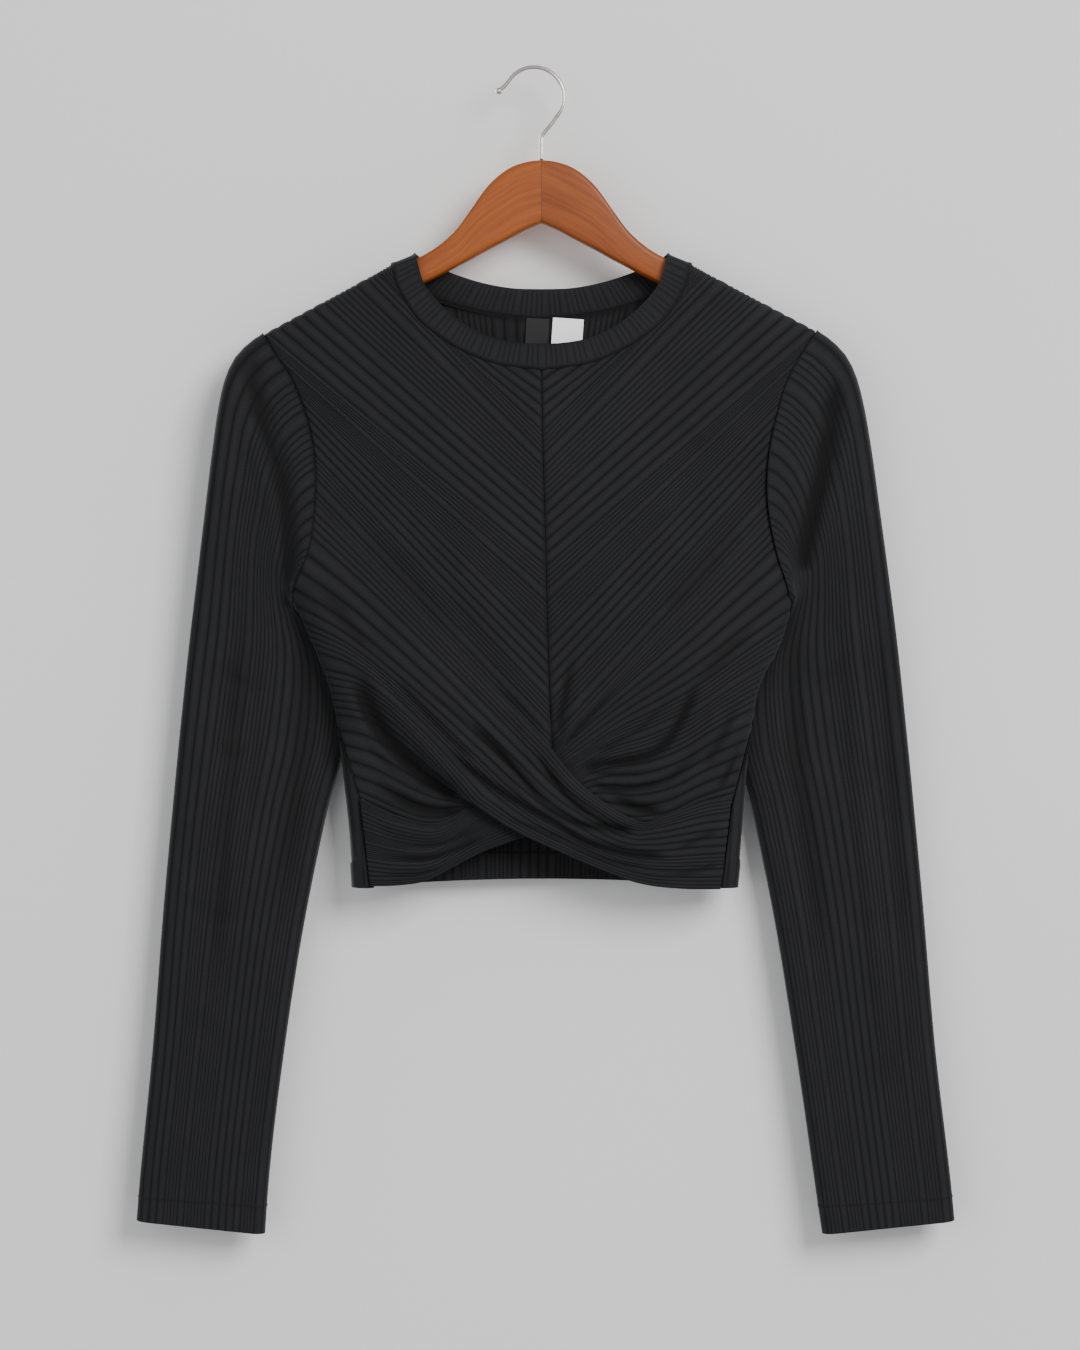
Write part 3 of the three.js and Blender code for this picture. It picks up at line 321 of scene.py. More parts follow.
FINE_FOLDS_UNDER = (
    Fold([(30.0, -404.0), (22.0, -436.0), (12.0, -462.0)], 3.4, 1.3),
    Fold([(70.0, -420.0), (46.0, -442.0), (22.0, -464.0)], 3.8, 1.3),
    Fold([(92.0, -420.0), (68.0, -446.0), (34.0, -466.0)], 4.0, -1.4),
    Fold([(80.0, -430.0), (58.0, -450.0), (32.0, -463.0)], 3.4, 1.1),
    Fold([(84.0, -472.0), (60.0, -474.5), (34.0, -474.8)], 2.8, 1.0),
    Fold([(94.0, -470.0), (72.0, -483.0), (44.0, -483.0)], 3.2, 1.1),
    Fold([(120.0, -470.0), (98.0, -487.0), (72.0, -495.0), (54.0, -494.0)], 4.0, 1.2),
    Fold([(122.0, -424.0), (112.0, -452.0), (94.0, -474.0)], 5.0, 1.3),
    Fold([(136.0, -420.0), (124.0, -450.0), (106.0, -478.0)], 5.5, -1.7),
    Fold([(134.0, -472.0), (130.0, -484.0), (124.0, -494.0)], 3.0, -1.4),
    Fold([(150.0, -372.0), (128.0, -394.0), (104.0, -420.0)], 8.0, -1.5),
    Fold([(96.0, -392.0), (70.0, -414.0), (46.0, -436.0)], 6.0, 1.0),
    Fold([(134.0, -300.0), (112.0, -340.0), (80.0, -372.0)], 13.0, -1.1),
    Fold([(-105.0, -525.0), (-68.0, -526.0), (-44.0, -514.5)], 3.4, -1.3),
    Fold([(-108.0, -529.5), (-74.0, -531.0), (-48.0, -522.0)], 3.0, 0.9),
    Fold([(-50.0, -530.0), (-78.0, -541.0), (-110.0, -541.0)], 3.4, 0.9),
    Fold([(-58.0, -538.0), (-84.0, -546.5), (-112.0, -547.0)], 3.4, -1.2),
)
# The hollow beside each sleeve's cap, where the sleeve bends in to the underarm
SLEEVE_VALLEY = {
    Hand.LEFT: [(-196.5, -204.0), (-187.0, -246.0), (-177.5, -272.0), (-171.8, -300.0), (-169.0, -345.0)],
    Hand.RIGHT: [(198.9, -219.6), (190.7, -270.0), (176.5, -333.2)],
}
VALLEY_WIDTH, VALLEY_DEPTH = 11.0, 4.6
# How strongly folds stand out, how long each takes to grow and to die out, and a hollow's painted shade
FOLD_STRENGTH = 1.35
FRONT_FADE, LONG_FADE, MOST_FADE = (30.0, 14.0), (90.0, 90.0), 0.42
HOLLOW_SHADE_FULL, HOLLOW_SHADE_DARKEST = 3.2, 0.86
# The cloth that goes on unseen behind the twist: how far down, and how far in
FLAP_DROP, FLAP_LEAN = 14.0, 1.5
SLEEVE_FOLDS = {
    Hand.LEFT: (
        Fold(
            [(-196.0, -330.0), (-207.0, -400.0), (-213.0, -480.0),
             (-219.0, -560.0), (-226.0, -650.0)],
            9.0, -1.9,
        ),
        Fold([(-186.0, -340.0), (-186.0, -400.0), (-190.0, -480.0), (-200.0, -560.0)], 8.0, 1.3),
        Fold(
            [(-168.0, -345.0), (-164.0, -390.0), (-162.0, -440.0),
             (-172.0, -520.0), (-184.0, -600.0)],
            12.0, -2.4,
        ),
        Fold([(-214.0, -214.0), (-192.0, -262.0), (-180.0, -312.0)], 7.0, 1.2),
        Fold([(-176.0, -236.0), (-166.0, -270.0), (-163.0, -310.0)], 6.0, 1.1),
        Fold([(-232.0, -400.0), (-196.0, -420.0), (-168.0, -428.0)], 9.0, -0.9),
        Fold([(-238.0, -455.0), (-206.0, -466.0), (-180.0, -462.0)], 8.0, -0.7),
        Fold([(-250.0, -560.0), (-222.0, -575.0), (-196.0, -572.0)], 9.0, -0.7),
        Fold([(-252.0, -640.0), (-226.0, -652.0), (-204.0, -690.0)], 10.0, -0.6),
    ),
    Hand.RIGHT: (
        Fold(
            [(206.0, -330.0), (212.0, -410.0), (218.0, -500.0),
             (228.0, -600.0), (236.0, -690.0)],
            9.0, 1.5,
        ),
        Fold([(228.0, -340.0), (234.0, -430.0), (240.0, -520.0), (250.0, -640.0)], 8.0, -1.4),
        Fold(
            [(170.0, -345.0), (170.0, -400.0), (172.0, -460.0),
             (182.0, -540.0), (196.0, -640.0)],
            11.0, -2.2,
        ),
        Fold([(214.0, -214.0), (205.0, -262.0), (194.0, -312.0)], 7.0, 1.2),
        Fold([(178.0, -232.0), (172.0, -270.0), (168.0, -318.0)], 6.0, 1.1),
        Fold([(232.0, -392.0), (200.0, -410.0), (170.0, -424.0)], 9.0, -0.9),
        Fold([(244.0, -470.0), (214.0, -476.0), (186.0, -470.0)], 8.0, -0.7),
        Fold([(252.0, -566.0), (224.0, -580.0), (200.0, -574.0)], 9.0, -0.7),
        Fold([(262.0, -650.0), (236.0, -668.0), (214.0, -704.0)], 10.0, -0.6),
    ),
}


# Curves in the plane of the photo


def hermite(f: np.ndarray, start: np.ndarray, leave: np.ndarray, end: np.ndarray, arrive: np.ndarray) -> np.ndarray:
    """Runs smoothly from one value to another.

    Args:
        f: shares of the way.
        start: value at the start.
        leave: slope at the start, over the whole way.
        end: value at the end.
        arrive: slope at the end, over the whole way.

    Returns:
        The values at the shares.
    """
    return (
        (2 * f**3 - 3 * f**2 + 1) * start
        + (f**3 - 2 * f**2 + f) * leave
        + (3 * f**2 - 2 * f**3) * end
        + (f**3 - f**2) * arrive
    )


class Route:
    """A line through points, read by its share of the length."""

    def __init__(self, points: Sequence[Pair]) -> None:
        """Keeps the points and their distance along the line.

        Args:
            points: places as X and Z.
        """
        self.points = np.asarray(points, dtype=float)
        steps = np.hypot(*np.diff(self.points, axis=0).T)
        self.reach = np.concatenate([[0.0], np.cumsum(steps)])
        self.length = float(self.reach[-1])

    @staticmethod
    def bent(points: Sequence[Pair], per_span: int = 8) -> "Route":
        """Makes a smooth route, a centripetal Catmull-Rom spline through the points.

        Args:
            points: places that the curve passes.
            per_span: how many steps lie between two of them.

        Returns:
            The route along the curve.
        """
        p = np.asarray(points, dtype=float)
        p = np.vstack([2 * p[0] - p[1], p, 2 * p[-1] - p[-2]])
        spots = []
        for a, b, c, d in zip(p, p[1:], p[2:], p[3:]):
            spans = ((a, b), (b, c), (c, d))
            before, middle, after = (math.sqrt(max(math.dist(m, n), 1e-6)) for m, n in spans)
            start = ((b - a) / before - (c - a) / (before + middle) + (c - b) / middle) * middle
            end = ((c - b) / middle - (d - b) / (middle + after) + (d - c) / after) * middle
            f = np.arange(per_span)[:, None] / per_span
            spots.append(hermite(f, b, start, c, end))
        return Route(np.vstack([*spots, p[-2][None]]))

    def at(self, share: np.ndarray) -> np.ndarray:
        """Gives the places at shares of the length, as an array with a last axis of 2."""
        want = np.clip(share, 0.0, 1.0) * self.length
        return np.stack([np.interp(want, self.reach, self.points[:, i]) for i in (0, 1)], axis=-1)

    def near(self, spots: np.ndarray) -> Tuple[np.ndarray, np.ndarray]:
        """Finds where the line comes nearest to spots.

        Args:
            spots: places as X and Z.

        Returns:
            Each spot's distance to the line, and how far along the line that is.
        """
        best = np.full(spots.shape[:-1], np.inf)
        place = np.zeros(spots.shape[:-1])
        for a, b, start in zip(self.points, self.points[1:], self.reach):
            along = b - a
            f = np.clip(((spots - a) @ along) / max(float(along @ along), 1e-9), 0.0, 1.0)
            away = np.linalg.norm(a + f[..., None] * along - spots, axis=-1)
            closer = away < best
            best = np.where(closer, away, best)
            place = np.where(closer, start + f * np.linalg.norm(along), place)
        return best, place

    def distance(self, spots: np.ndarray) -> np.ndarray:
        """Gives each spot's distance to the line."""
        return self.near(spots)[0]

    def share_of(self, point: Pair) -> float:
        """Gives the share of the length where the line comes nearest to a point."""
        return float(self.near(np.asarray(point, dtype=float))[1]) / self.length

    def snap(self, point: Pair) -> np.ndarray:
        """Gives the place on the line that is nearest to a point."""
        return self.at(np.array(self.share_of(point)))

    def between(self, start: Pair, end: Pair) -> Curve:
        """Gives the stretch of the line from one point to another, as a function of its share."""
        a, b = self.share_of(start), self.share_of(end)
        return lambda f: self.at(a + (b - a) * f)


def still(point: Pair) -> Curve:
    """Makes an edge that stays at one point."""
    return lambda f: np.broadcast_to(np.asarray(point, dtype=float), (*np.shape(f), 2))


def segment(start: Pair, end: Pair) -> Curve:
    """Makes a straight edge."""
    a, b = np.asarray(start, dtype=float), np.asarray(end, dtype=float)
    return lambda f: a + (b - a) * np.asarray(f)[..., None]


def smooth(v: np.ndarray) -> np.ndarray:
    """Eases a value from 0 to 1."""
    v = np.clip(v, 0.0, 1.0)
    return v * v * (3.0 - 2.0 * v)


def rolled(distance: np.ndarray, radius: float) -> np.ndarray:
    """Gives the rise of a quarter round, from 0 at its edge to 1 at its radius."""
    return np.sqrt(np.clip(1.0 - (1.0 - np.clip(distance / radius, 0.0, 1.0)) ** 2, 0.0, 1.0))


def nearest(routes: Iterable[Route], spots: np.ndarray) -> np.ndarray:
    """Gives each spot's distance to the nearest of some lines."""
    return np.min([route.distance(spots) for route in routes], axis=0)


def both_halves(half: np.ndarray) -> np.ndarray:
    """Adds the mirrored right half to points that run from the left to the middle."""
    return np.vstack([half, (half * (-1, 1))[::-1][1:]])


SIDE = {hand: Route.bent(points) for hand, points in SIDE_POINTS.items()}
ARMHOLE = {hand: Route.bent(points) for hand, points in ARMHOLE_POINTS.items()}
SHOULDER_LINE = {hand: Route(points) for hand, points in SHOULDER.items()}
NECK_FRONT_ROUTE = Route.bent(NECK_LEFT)
NECK_BACK_ROUTE = Route.bent(NECK_BACK)


def at_height(route: Route, z: np.ndarray) -> np.ndarray:
    """Gives a route's points at heights, where its heights only fall."""
    falling = route.points[::-1]
    return np.stack([np.interp(z, falling[:, 1], falling[:, 0]), np.asarray(z, dtype=float)], axis=-1)


def side_point(hand: Hand, share: np.ndarray) -> np.ndarray:
    """Gives the silhouette and the armhole of a side.

    Args:
        hand: which side.
        share: shares of the way from the hem to the shoulder.

    Returns:
        Places as X and Z.
    """
    side, armhole = SIDE[hand], ARMHOLE[hand]
    hem, underarm, shoulder = side.points[-1, 1], side.points[0, 1], armhole.points[0, 1]
    share = np.asarray(share, dtype=float)
    low = hem + (underarm - hem) * share / UNDERARM_SHARE
    high = underarm + (shoulder - underarm) * (share - UNDERARM_SHARE) / (1 - UNDERARM_SHARE)
    return np.where((share > UNDERARM_SHARE)[..., None], at_height(armhole, high), at_height(side, low))


def front_seam(hand: Hand) -> Route:
    """Gives the seam at the front of a side, from the wrap's top down to the hem."""
    bend, end = WRAP_X[hand]
    top, middle, hem = (side_point(hand, np.array(share)) for share in (WRAP_TOP, WRAP_BEND, 0.0))
    return Route([tuple(top), (bend, middle[1]), (end, hem[1])])


def body_depth(spots: np.ndarray, face: Face) -> np.ndarray:
    """Gives how far the cloth's outer face stands from the seam plane.

    Args:
        spots: places as X and Z.
        face: front or back.

    Returns:
        Depths without any fold.
    """
    column = 1 if face is Face.FRONT else 2
    middle = np.interp(spots[..., 1], BODY_DEPTH[:, 0], BODY_DEPTH[:, column])
    share = np.clip(1.0 - (spots[..., 0] / CLOTH.half_chest) ** 2, 0.0, 1.0)
    full = CLOTH.shoulder_depth + (middle - CLOTH.shoulder_depth) * share
    to_shoulder, to_side = nearest(SHOULDER_LINE.values(), spots), nearest(SIDE.values(), spots)
    return full * rolled(to_shoulder, CLOTH.shoulder_roll) * rolled(to_side, CLOTH.side_roll)


def freedom(spots: np.ndarray) -> np.ndarray:
    """Gives how freely the body's cloth may move: 0 at the sides and shoulders, 1 and more further in."""
    to_side, to_shoulder = nearest(SIDE.values(), spots), nearest(SHOULDER_LINE.values(), spots)
    return np.minimum(to_side / CLOTH.loose_side, to_shoulder / CLOTH.loose_shoulder)


def tuck_share(distance: np.ndarray) -> np.ndarray:
    """Gives how far cloth is drawn in at distances from a seam, from 1 at the seam to 0."""
    return np.clip(1.0 - distance / CLOTH.tuck_reach, 0.0, 1.0) ** 1.5


def fold_depth(folds: Sequence[Fold], spots: np.ndarray, fade: Pair) -> np.ndarray:
    """Adds up how far folds stand out at places.

    Args:
        folds: the creases.
        spots: places as X and Z.
        fade: how far each fold takes to grow at its start and to die out at its end, at most.

    Returns:
        How far the cloth stands out.
    """
    out = np.zeros(spots.shape[:-1])
    for fold in folds:
        route = Route.bent(fold.line, 4)
        away, place = route.near(spots)
        grow, die = (min(reach, MOST_FADE * route.length) for reach in fade)
        strength = smooth(place / grow) * smooth((route.length - place) / die)
        near = away / fold.width
        out += FOLD_STRENGTH * fold.out * strength * np.where(near < 1.0, (1.0 - near**2) ** 2, 0.0)
    return out


def hollow_shade(sunk: np.ndarray) -> np.ndarray:
    """Gives the painted shade of a hollow by how far it is sunk."""
    return HOLLOW_SHADE_DARKEST * np.clip(sunk / HOLLOW_SHADE_FULL, 0.0, 1.0) ** 1.3


def shaded(groove: np.ndarray, hollow: np.ndarray) -> np.ndarray:
    """Adds a hollow's painted shade to the painted shade of the grooves that lie in it."""
    return groove + (1.0 - groove) * hollow


def drape(spots: np.ndarray) -> np.ndarray:
    """Gives the slow unevenness of hanging cloth, within two millimetres."""
    x, z = spots[..., 0], spots[..., 1]
    return (
        0.95 * np.sin(x / 33.0 + z / 47.0 + 0.6)
        + 0.65 * np.sin(x / 18.0 - z / 41.0 + 2.1)
        + 0.30 * np.sin(x / 9.5 + z / 29.0 + 4.0)
    )


# Ribs, and walls of cloth made from rows of points


class Ribs:
    """The rib pattern across a piece of knit: wide and narrow ribs in a repeat."""

    WIDE_SAMPLES = (0.0, 0.08, 0.22, 0.5, 0.78, 0.92)
    NARROW_SAMPLES = (0.0, 0.22, 0.5, 0.78)
    SQUARENESS = 2.3
    CLOSEST = 0.3

    def __init__(self, repeat: Sequence[RibBand], phase: float = 0.0) -> None:
        """Lays the ribs of one repeat side by side.

        Args:
            repeat: runs of like ribs.
            phase: how far into the repeat the distance 0 lies.
        """
        widths = [band.width for band in repeat for _ in range(band.ribs)]
        self.wide = np.array([band.wide for band in repeat for _ in range(band.ribs)])
        self.starts = np.concatenate([[0.0], np.cumsum(widths)])
        self.length = float(self.starts[-1])
        self.phase = phase

    def samples(self, start: float, end: float) -> np.ndarray:
        """Picks the distances at which the ribs need points.

        Args:
            start: the first distance.
            end: the last distance.

        Returns:
            The rising distances, with both limits.
        """
        spots = []
        turns = range(int((start + self.phase) // self.length), int((end + self.phase) // self.length) + 1)
        for turn in turns:
            for i, wide in enumerate(self.wide):
                step = self.starts[i + 1] - self.starts[i]
                shares = self.WIDE_SAMPLES if wide else self.NARROW_SAMPLES
                spots.extend(turn * self.length - self.phase + self.starts[i] + step * f for f in shares)
        inside = [u for u in spots if start + self.CLOSEST < u < end - self.CLOSEST]
        return np.array([start, *inside, end])

    def profile(self, u: np.ndarray) -> Tuple[np.ndarray, np.ndarray]:
        """Reads the ribs at distances.

        Args:
            u: distances across the ribs.

        Returns:
            The height of the ribs, and how deep in a groove each distance is, which sets the groove's
            painted shade.
        """
        place = np.mod(np.asarray(u, dtype=float) + self.phase, self.length)
        rib = np.clip(np.searchsorted(self.starts, place, side="right") - 1, 0, len(self.wide) - 1)
        share = (place - self.starts[rib]) / (self.starts[rib + 1] - self.starts[rib])
        crown = 1.0 - np.abs(2.0 * share - 1.0) ** self.SQUARENESS
        height = np.where(self.wide[rib], CLOTH.rib_wide, CLOTH.rib_narrow)
        return height * crown, 1.0 - crown


def squares(numbers: np.ndarray) -> np.ndarray:
    """Gives the four corners of each square between rows and columns of numbered points."""
    corners = [numbers[:-1, :-1], numbers[1:, :-1], numbers[1:, 1:], numbers[:-1, 1:]]
    return np.stack([corner.ravel() for corner in corners], axis=1)


@dataclass
class Stretch:
    """Rows and columns of cloth: points without ribs, what is raised there, the knit's own distances, and
    the painted shade of grooves, seams, stitch lines and hollows at each point.
    """

    spots: np.ndarray
    rise: np.ndarray
    knit: np.ndarray
    groove: np.ndarray
    closed: bool = False


class Wall:
    """A wall of cloth gathered from stretches that share the points along their common edges."""

    WELD = 0.01
    NUDGE = 0.00123

    def __init__(self, name: str, seen_flat: bool, flipped: bool = False) -> None:
        """Starts an empty wall.

        Args:
            name: the piece's name.
            seen_flat: whether points at one X and Z are the same point, whatever their depth.
            flipped: whether the rows and columns turn the other way.
        """
        self.name = name
        self.seen_flat = seen_flat
        self.flipped = flipped
        self.stretches: List[Stretch] = []

    def add(self, stretch: Stretch) -> None:
        """Takes in one stretch of cloth."""
        self.stretches.append(stretch)

    def _corners(self) -> np.ndarray:
        """Gives the four corners of each square, as numbers of unwelded points."""
        found, base = [], 0
        for stretch in self.stretches:
            numbers = base + np.arange(stretch.rise.size).reshape(stretch.rise.shape)
            if stretch.closed:
                numbers = np.hstack([numbers, numbers[:, :1]])
            found.append(squares(numbers))
            base += stretch.rise.size
        out = np.vstack(found)
        return out[:, ::-1] if self.flipped else out

    def build(self) -> bpy.types.Object:
        """Welds the stretches, gives them ribs and thickness, and makes the object.

        Returns:
            The object, in metres, with a map of the knit and an attribute for the painted shade.
        """
        spots = np.vstack([s.spots.reshape(-1, 3) for s in self.stretches])
        rise = np.concatenate([s.rise.ravel() for s in self.stretches])
        groove = np.concatenate([s.groove.ravel() for s in self.stretches])
        knit = np.vstack([s.knit.reshape(-1, 2) for s in self.stretches])
        key = spots[:, [0, 2]] if self.seen_flat else spots
        key = np.floor((key + self.NUDGE) / self.WELD).astype(np.int64)
        _, first, welded = np.unique(key, axis=0, return_index=True, return_inverse=True)
        welded = welded.ravel()
        points, rise, groove = spots[first], rise[first], groove[first]

        corners = self._corners()
        faces = welded[corners]
        ordered = np.sort(faces, axis=1)
        sound = (ordered[:, 1:] != ordered[:, :-1]).sum(axis=1) >= 2
        corners, faces = corners[sound], faces[sound]
        first_diagonal, second_diagonal = (points[faces[:, i + 2]] - points[faces[:, i]] for i in (0, 1))
        across = np.cross(first_diagonal, second_diagonal)
        normals = np.zeros_like(points)
        for i in range(4):
            np.add.at(normals, faces[:, i], across)
        normals /= np.maximum(np.linalg.norm(normals, axis=1, keepdims=True), 1e-9)
        count = len(points)
        LOG.info("%s: %d points a side", self.name, count)

        inner_rise = np.minimum(rise, 0.0) - CLOTH.wall
        verts = np.vstack([points + normals * rise[:, None], points + normals * inner_rise[:, None]])
        edges = np.vstack([faces[:, [i, (i + 1) % 4]] for i in range(4)])
        edge_corners = np.vstack([corners[:, [i, (i + 1) % 4]] for i in range(4)])
        real = edges[:, 0] != edges[:, 1]
        edges, edge_corners = edges[real], edge_corners[real]
        forward = edges[:, 0] * count + edges[:, 1]
        backward = edges[:, 1] * count + edges[:, 0]
        rim = ~np.isin(forward, backward)
        p, q = edges[rim].T
        rim_faces = np.stack([q, p, p + count, q + count], axis=1)
        p_corner, q_corner = edge_corners[rim].T
        rim_corners = np.stack([q_corner, p_corner, p_corner, q_corner], axis=1)
        all_faces = np.vstack([faces, faces[:, ::-1] + count, rim_faces])
        all_corners = np.vstack([corners, corners[:, ::-1], rim_corners])
        sharp = np.concatenate([edges[rim], edges[rim] + count])
        return make_mesh(self.name, verts, all_faces, knit[all_corners], np.tile(groove, 2), sharp)


def link(name: str, data: bpy.types.ID) -> bpy.types.Object:
    """Puts an object that shows some data into the scene."""
    made = bpy.data.objects.new(name, data)
    bpy.context.scene.collection.objects.link(made)
    return made


def make_mesh(
    name: str,
    verts: np.ndarray,
    faces: np.ndarray,
    knit: np.ndarray,
    groove: np.ndarray,
    sharp: np.ndarray,
) -> bpy.types.Object:
    """Makes an object from squares, some of which have two corners in one point.

    Args:
        name: the piece's name.
        verts: points in millimetres.
        faces: four numbers of points a face.
        knit: the map at each face's corners, in millimetres.
        groove: the painted shade at each point.
        sharp: pairs of points whose edge stays sharp.

    Returns:
        The object, smooth but for its sharp edges.
    """
    keep = faces != np.roll(faces, 1, axis=1)
    rows = [face[ok].tolist() for face, ok in zip(faces, keep)]
    mesh = bpy.data.meshes.new(name)
    mesh.from_pydata((verts * MM).tolist(), [], rows)
    mesh.update()
    uv = mesh.uv_layers.new(name="knit")
    uv.data.foreach_set("uv", (knit[keep] * MM).astype(np.float32).ravel())
    layer = mesh.attributes.new("groove", "FLOAT", "POINT")
    layer.data.foreach_set("value", groove.astype(np.float32))
    mesh.polygons.foreach_set("use_smooth", np.ones(len(mesh.polygons), dtype=bool))
    ends = np.empty(len(mesh.edges) * 2, dtype=np.int32)
    mesh.edges.foreach_get("vertices", ends)
    ends = np.sort(ends.reshape(-1, 2).astype(np.int64), axis=1)
    wanted = np.sort(sharp.astype(np.int64), axis=1)
    size = len(verts)
    is_sharp = np.isin(ends[:, 0] * size + ends[:, 1], wanted[:, 0] * size + wanted[:, 1])
    edge_layer = mesh.attributes.get("sharp_edge") or mesh.attributes.new("sharp_edge", "BOOLEAN", "EDGE")
    edge_layer.data.foreach_set("value", is_sharp)
    return link(name + LOOK, mesh)


def patch(top: Curve, bottom: Curve, left: Curve, right: Curve, f: np.ndarray, t: np.ndarray) -> np.ndarray:
    """Fills the space between four edges.

    Args:
        top: edge at f = 0, by t.
        bottom: edge at f = 1, by t.
        left: edge at t = 0, by f.
        right: edge at t = 1, by f.
        f: shares down, one a row.
        t: shares along, one a column.

    Returns:
        Places as rows × columns × 2.
    """
    rows, columns = f[:, None, None], t[None, :, None]
    none, one = np.array([0.0]), np.array([1.0])
    above = (1 - columns) * top(none) + columns * top(one)
    below = (1 - columns) * bottom(none) + columns * bottom(one)
    across = (1 - rows) * top(t)[None] + rows * bottom(t)[None]
    along = (1 - columns) * left(f)[:, None] + columns * right(f)[:, None]
    return across + along - (1 - rows) * above - rows * below


def knit_map(spots: np.ndarray, u: np.ndarray) -> np.ndarray:
    """Gives each point its distance across the ribs and its distance along them.

    Args:
        spots: rows × columns of places.
        u: each row's distance across the ribs.

    Returns:
        Both distances as rows × columns × 2.
    """
    middle = spots[len(spots) // 2]
    steps = np.hypot(*np.diff(middle, axis=0).T)
    along = np.concatenate([[0.0], np.cumsum(steps)])
    return np.stack(np.broadcast_arrays(u[:, None], along[None, :]), axis=-1)


@dataclass
class FrontPanel:
    """A front half of the body: its upper areas, the part that gathers into the twist, and what is past it."""

    hand: Hand
    piece: str
    depth_at_twist: float
    folds: Sequence[Fold]
    ribs: Ribs
    neck_u: float = 36.0
    main_u: float = 182.0
    root_u: float = 250.0
    fan_u: float = 296.0
    long_steps: int = 62
    twist: Pair = (7.1, -461.0)
    twist_reach: float = 36.0
    seam_step: float = 1.3
    end_settles: float = 8.0
    end_held: float = 9.0
    neck_held: float = 10.0
    wall: Wall = field(init=False)

    def __post_init__(self) -> None:
        """Works out the outline, the centre seam and the neck edge."""
        self.wall = Wall(self.piece, True, self.hand is Hand.RIGHT)
        shift = CLOTH.seam_gap / 2 * (-1 if self.hand is Hand.LEFT else 1)
        self.centre = Route.bent([(x + shift, z) for x, z in CENTRE_POINTS])
        neck = NECK_FRONT_ROUTE.points[:-1]
        neck = neck if self.hand is Hand.LEFT else neck * (-1, 1)
        self.neck = Route([*neck, self.centre.points[0]])
        seam = front_seam(self.hand)
        armhole, side = ARMHOLE[self.hand], SIDE[self.hand].points
        side = side[(side[:, 1] > seam.points[0, 1] + 2)][1:]
        self.outline = Route([*SHOULDER[self.hand], *armhole.points[1:], *side, *seam.points])
        self.seams = [self.centre, armhole, seam, self.neck]
        self.end = self.centre.points[-1]
        near = np.linspace(0.0, TANGENT_SHARE, 20) ** 1.5 / TANGENT_SHARE**0.5
        far = np.linspace(TANGENT_SHARE, 1.0, self.long_steps - 18)[1:]
        self.before = near / TANGENT_SHARE
        self.after = np.concatenate([[0.0], (far - TANGENT_SHARE) / (1 - TANGENT_SHARE)])
        self.along = np.concatenate([near, far])

    def near_twist(self, spots: np.ndarray) -> np.ndarray:
        """Gives 1 at the twist, fading to 0 at its reach."""
        return smooth(1.0 - np.linalg.norm(spots - self.twist, axis=-1) / self.twist_reach)

    def upper_offset(self, spots: np.ndarray) -> np.ndarray:
        """Gives how far the cloth stands out above the twist."""
        return self.depth_at_twist * self.near_twist(spots)

    def stretch(self, edges: Dict[str, Curve], span: Pair, t: np.ndarray, offset: Offset) -> None:
        """Adds the cloth between four edges.

        Args:
            edges: top, bottom, left and right.
            span: distances across the ribs at the top and the bottom edge.
            t: shares along the ribs.
            offset: how far the cloth stands out, from places and both shares.
        """
        u = self.ribs.samples(*span)
        f = (u - span[0]) / (span[1] - span[0])
        flat = patch(edges["top"], edges["bottom"], edges["left"], edges["right"], f, t)
        to_end = nearest([front_seam(hand) for hand in Hand], flat)
        stand = offset(flat, f[:, None], t[None, :])
        stitched = np.minimum(stand, self.seam_step)
        freed = (stand - stitched) * smooth(to_end / self.end_settles)
        depth = body_depth(flat, Face.FRONT) + stitched + freed
        held = np.minimum(to_end / self.end_held, self.neck.distance(flat) / self.neck_held)
        loose = smooth(np.minimum(freedom(flat), held))
        bend = loose * fold_depth(self.folds, flat, FRONT_FADE)
        depth = depth + bend + loose * drape(flat)
        rise, groove = self.ribs.profile(u)
        tuck = tuck_share(nearest(self.seams, flat))
        calm = 1.0 - CLOTH.tuck_calm * tuck
        rise = rise[:, None] * calm - CLOTH.tuck_depth * tuck
        # Painted shade: the grooves, darker at seams where the cloth is drawn in, and in fold hollows
        groove = np.maximum(np.broadcast_to(groove[:, None], rise.shape), 0.7 * tuck)
        groove = shaded(groove, hollow_shade(-bend))
        spots = np.stack([flat[..., 0], -depth, flat[..., 1]], axis=-1)
        self.wall.add(Stretch(spots, rise, knit_map(flat, u), groove))

    def add_flap(self, edge: Route, offset: Offset) -> None:
        """Carries the cloth on below an edge that another part covers.

        Args:
            edge: the covered edge.
            offset: how far the cloth above that edge stands out.
        """

        def low(t: np.ndarray) -> np.ndarray:
            """Lies lowest at the middle of the edge."""
            drop = FLAP_DROP * np.sin(np.pi * t) ** 2
            return edge.at(t) - np.stack([np.zeros_like(drop), drop], axis=-1)

        def behind(spots: np.ndarray, f: np.ndarray, t: np.ndarray) -> np.ndarray:
            """Leans in behind the part that covers it."""
            return offset(spots, np.ones_like(f), t) - FLAP_LEAN * smooth(f)

        flap = {"top": edge.at, "bottom": low}
        flap["left"], flap["right"] = still(edge.points[0]), still(edge.points[-1])
        self.stretch(flap, (self.fan_u, self.fan_u + FLAP_DROP), self.along, behind)

    def add_upper(self) -> None:
        """Adds the main area, the one under the neck and the one beside it."""
        outline, neck, centre = self.outline, self.neck, self.centre
        shoulder, to_twist = (outline.snap(rib[self.hand]) for rib in (RIB_AT_SHOULDER, RIB_TO_TWIST))
        tangent, split = neck.snap(NECK_TANGENT[self.hand]), centre.snap(RIB_AT_CENTRE)
        first = Route([shoulder, tangent])
        second = Route([tangent, split])

        def first_rib(t: np.ndarray) -> np.ndarray:
            """Runs from the shoulder past the neck to the centre."""
            inner = first.at(t / TANGENT_SHARE)
            outer = second.at((t - TANGENT_SHARE) / (1 - TANGENT_SHARE))
            return np.where((t < TANGENT_SHARE)[..., None], inner, outer)

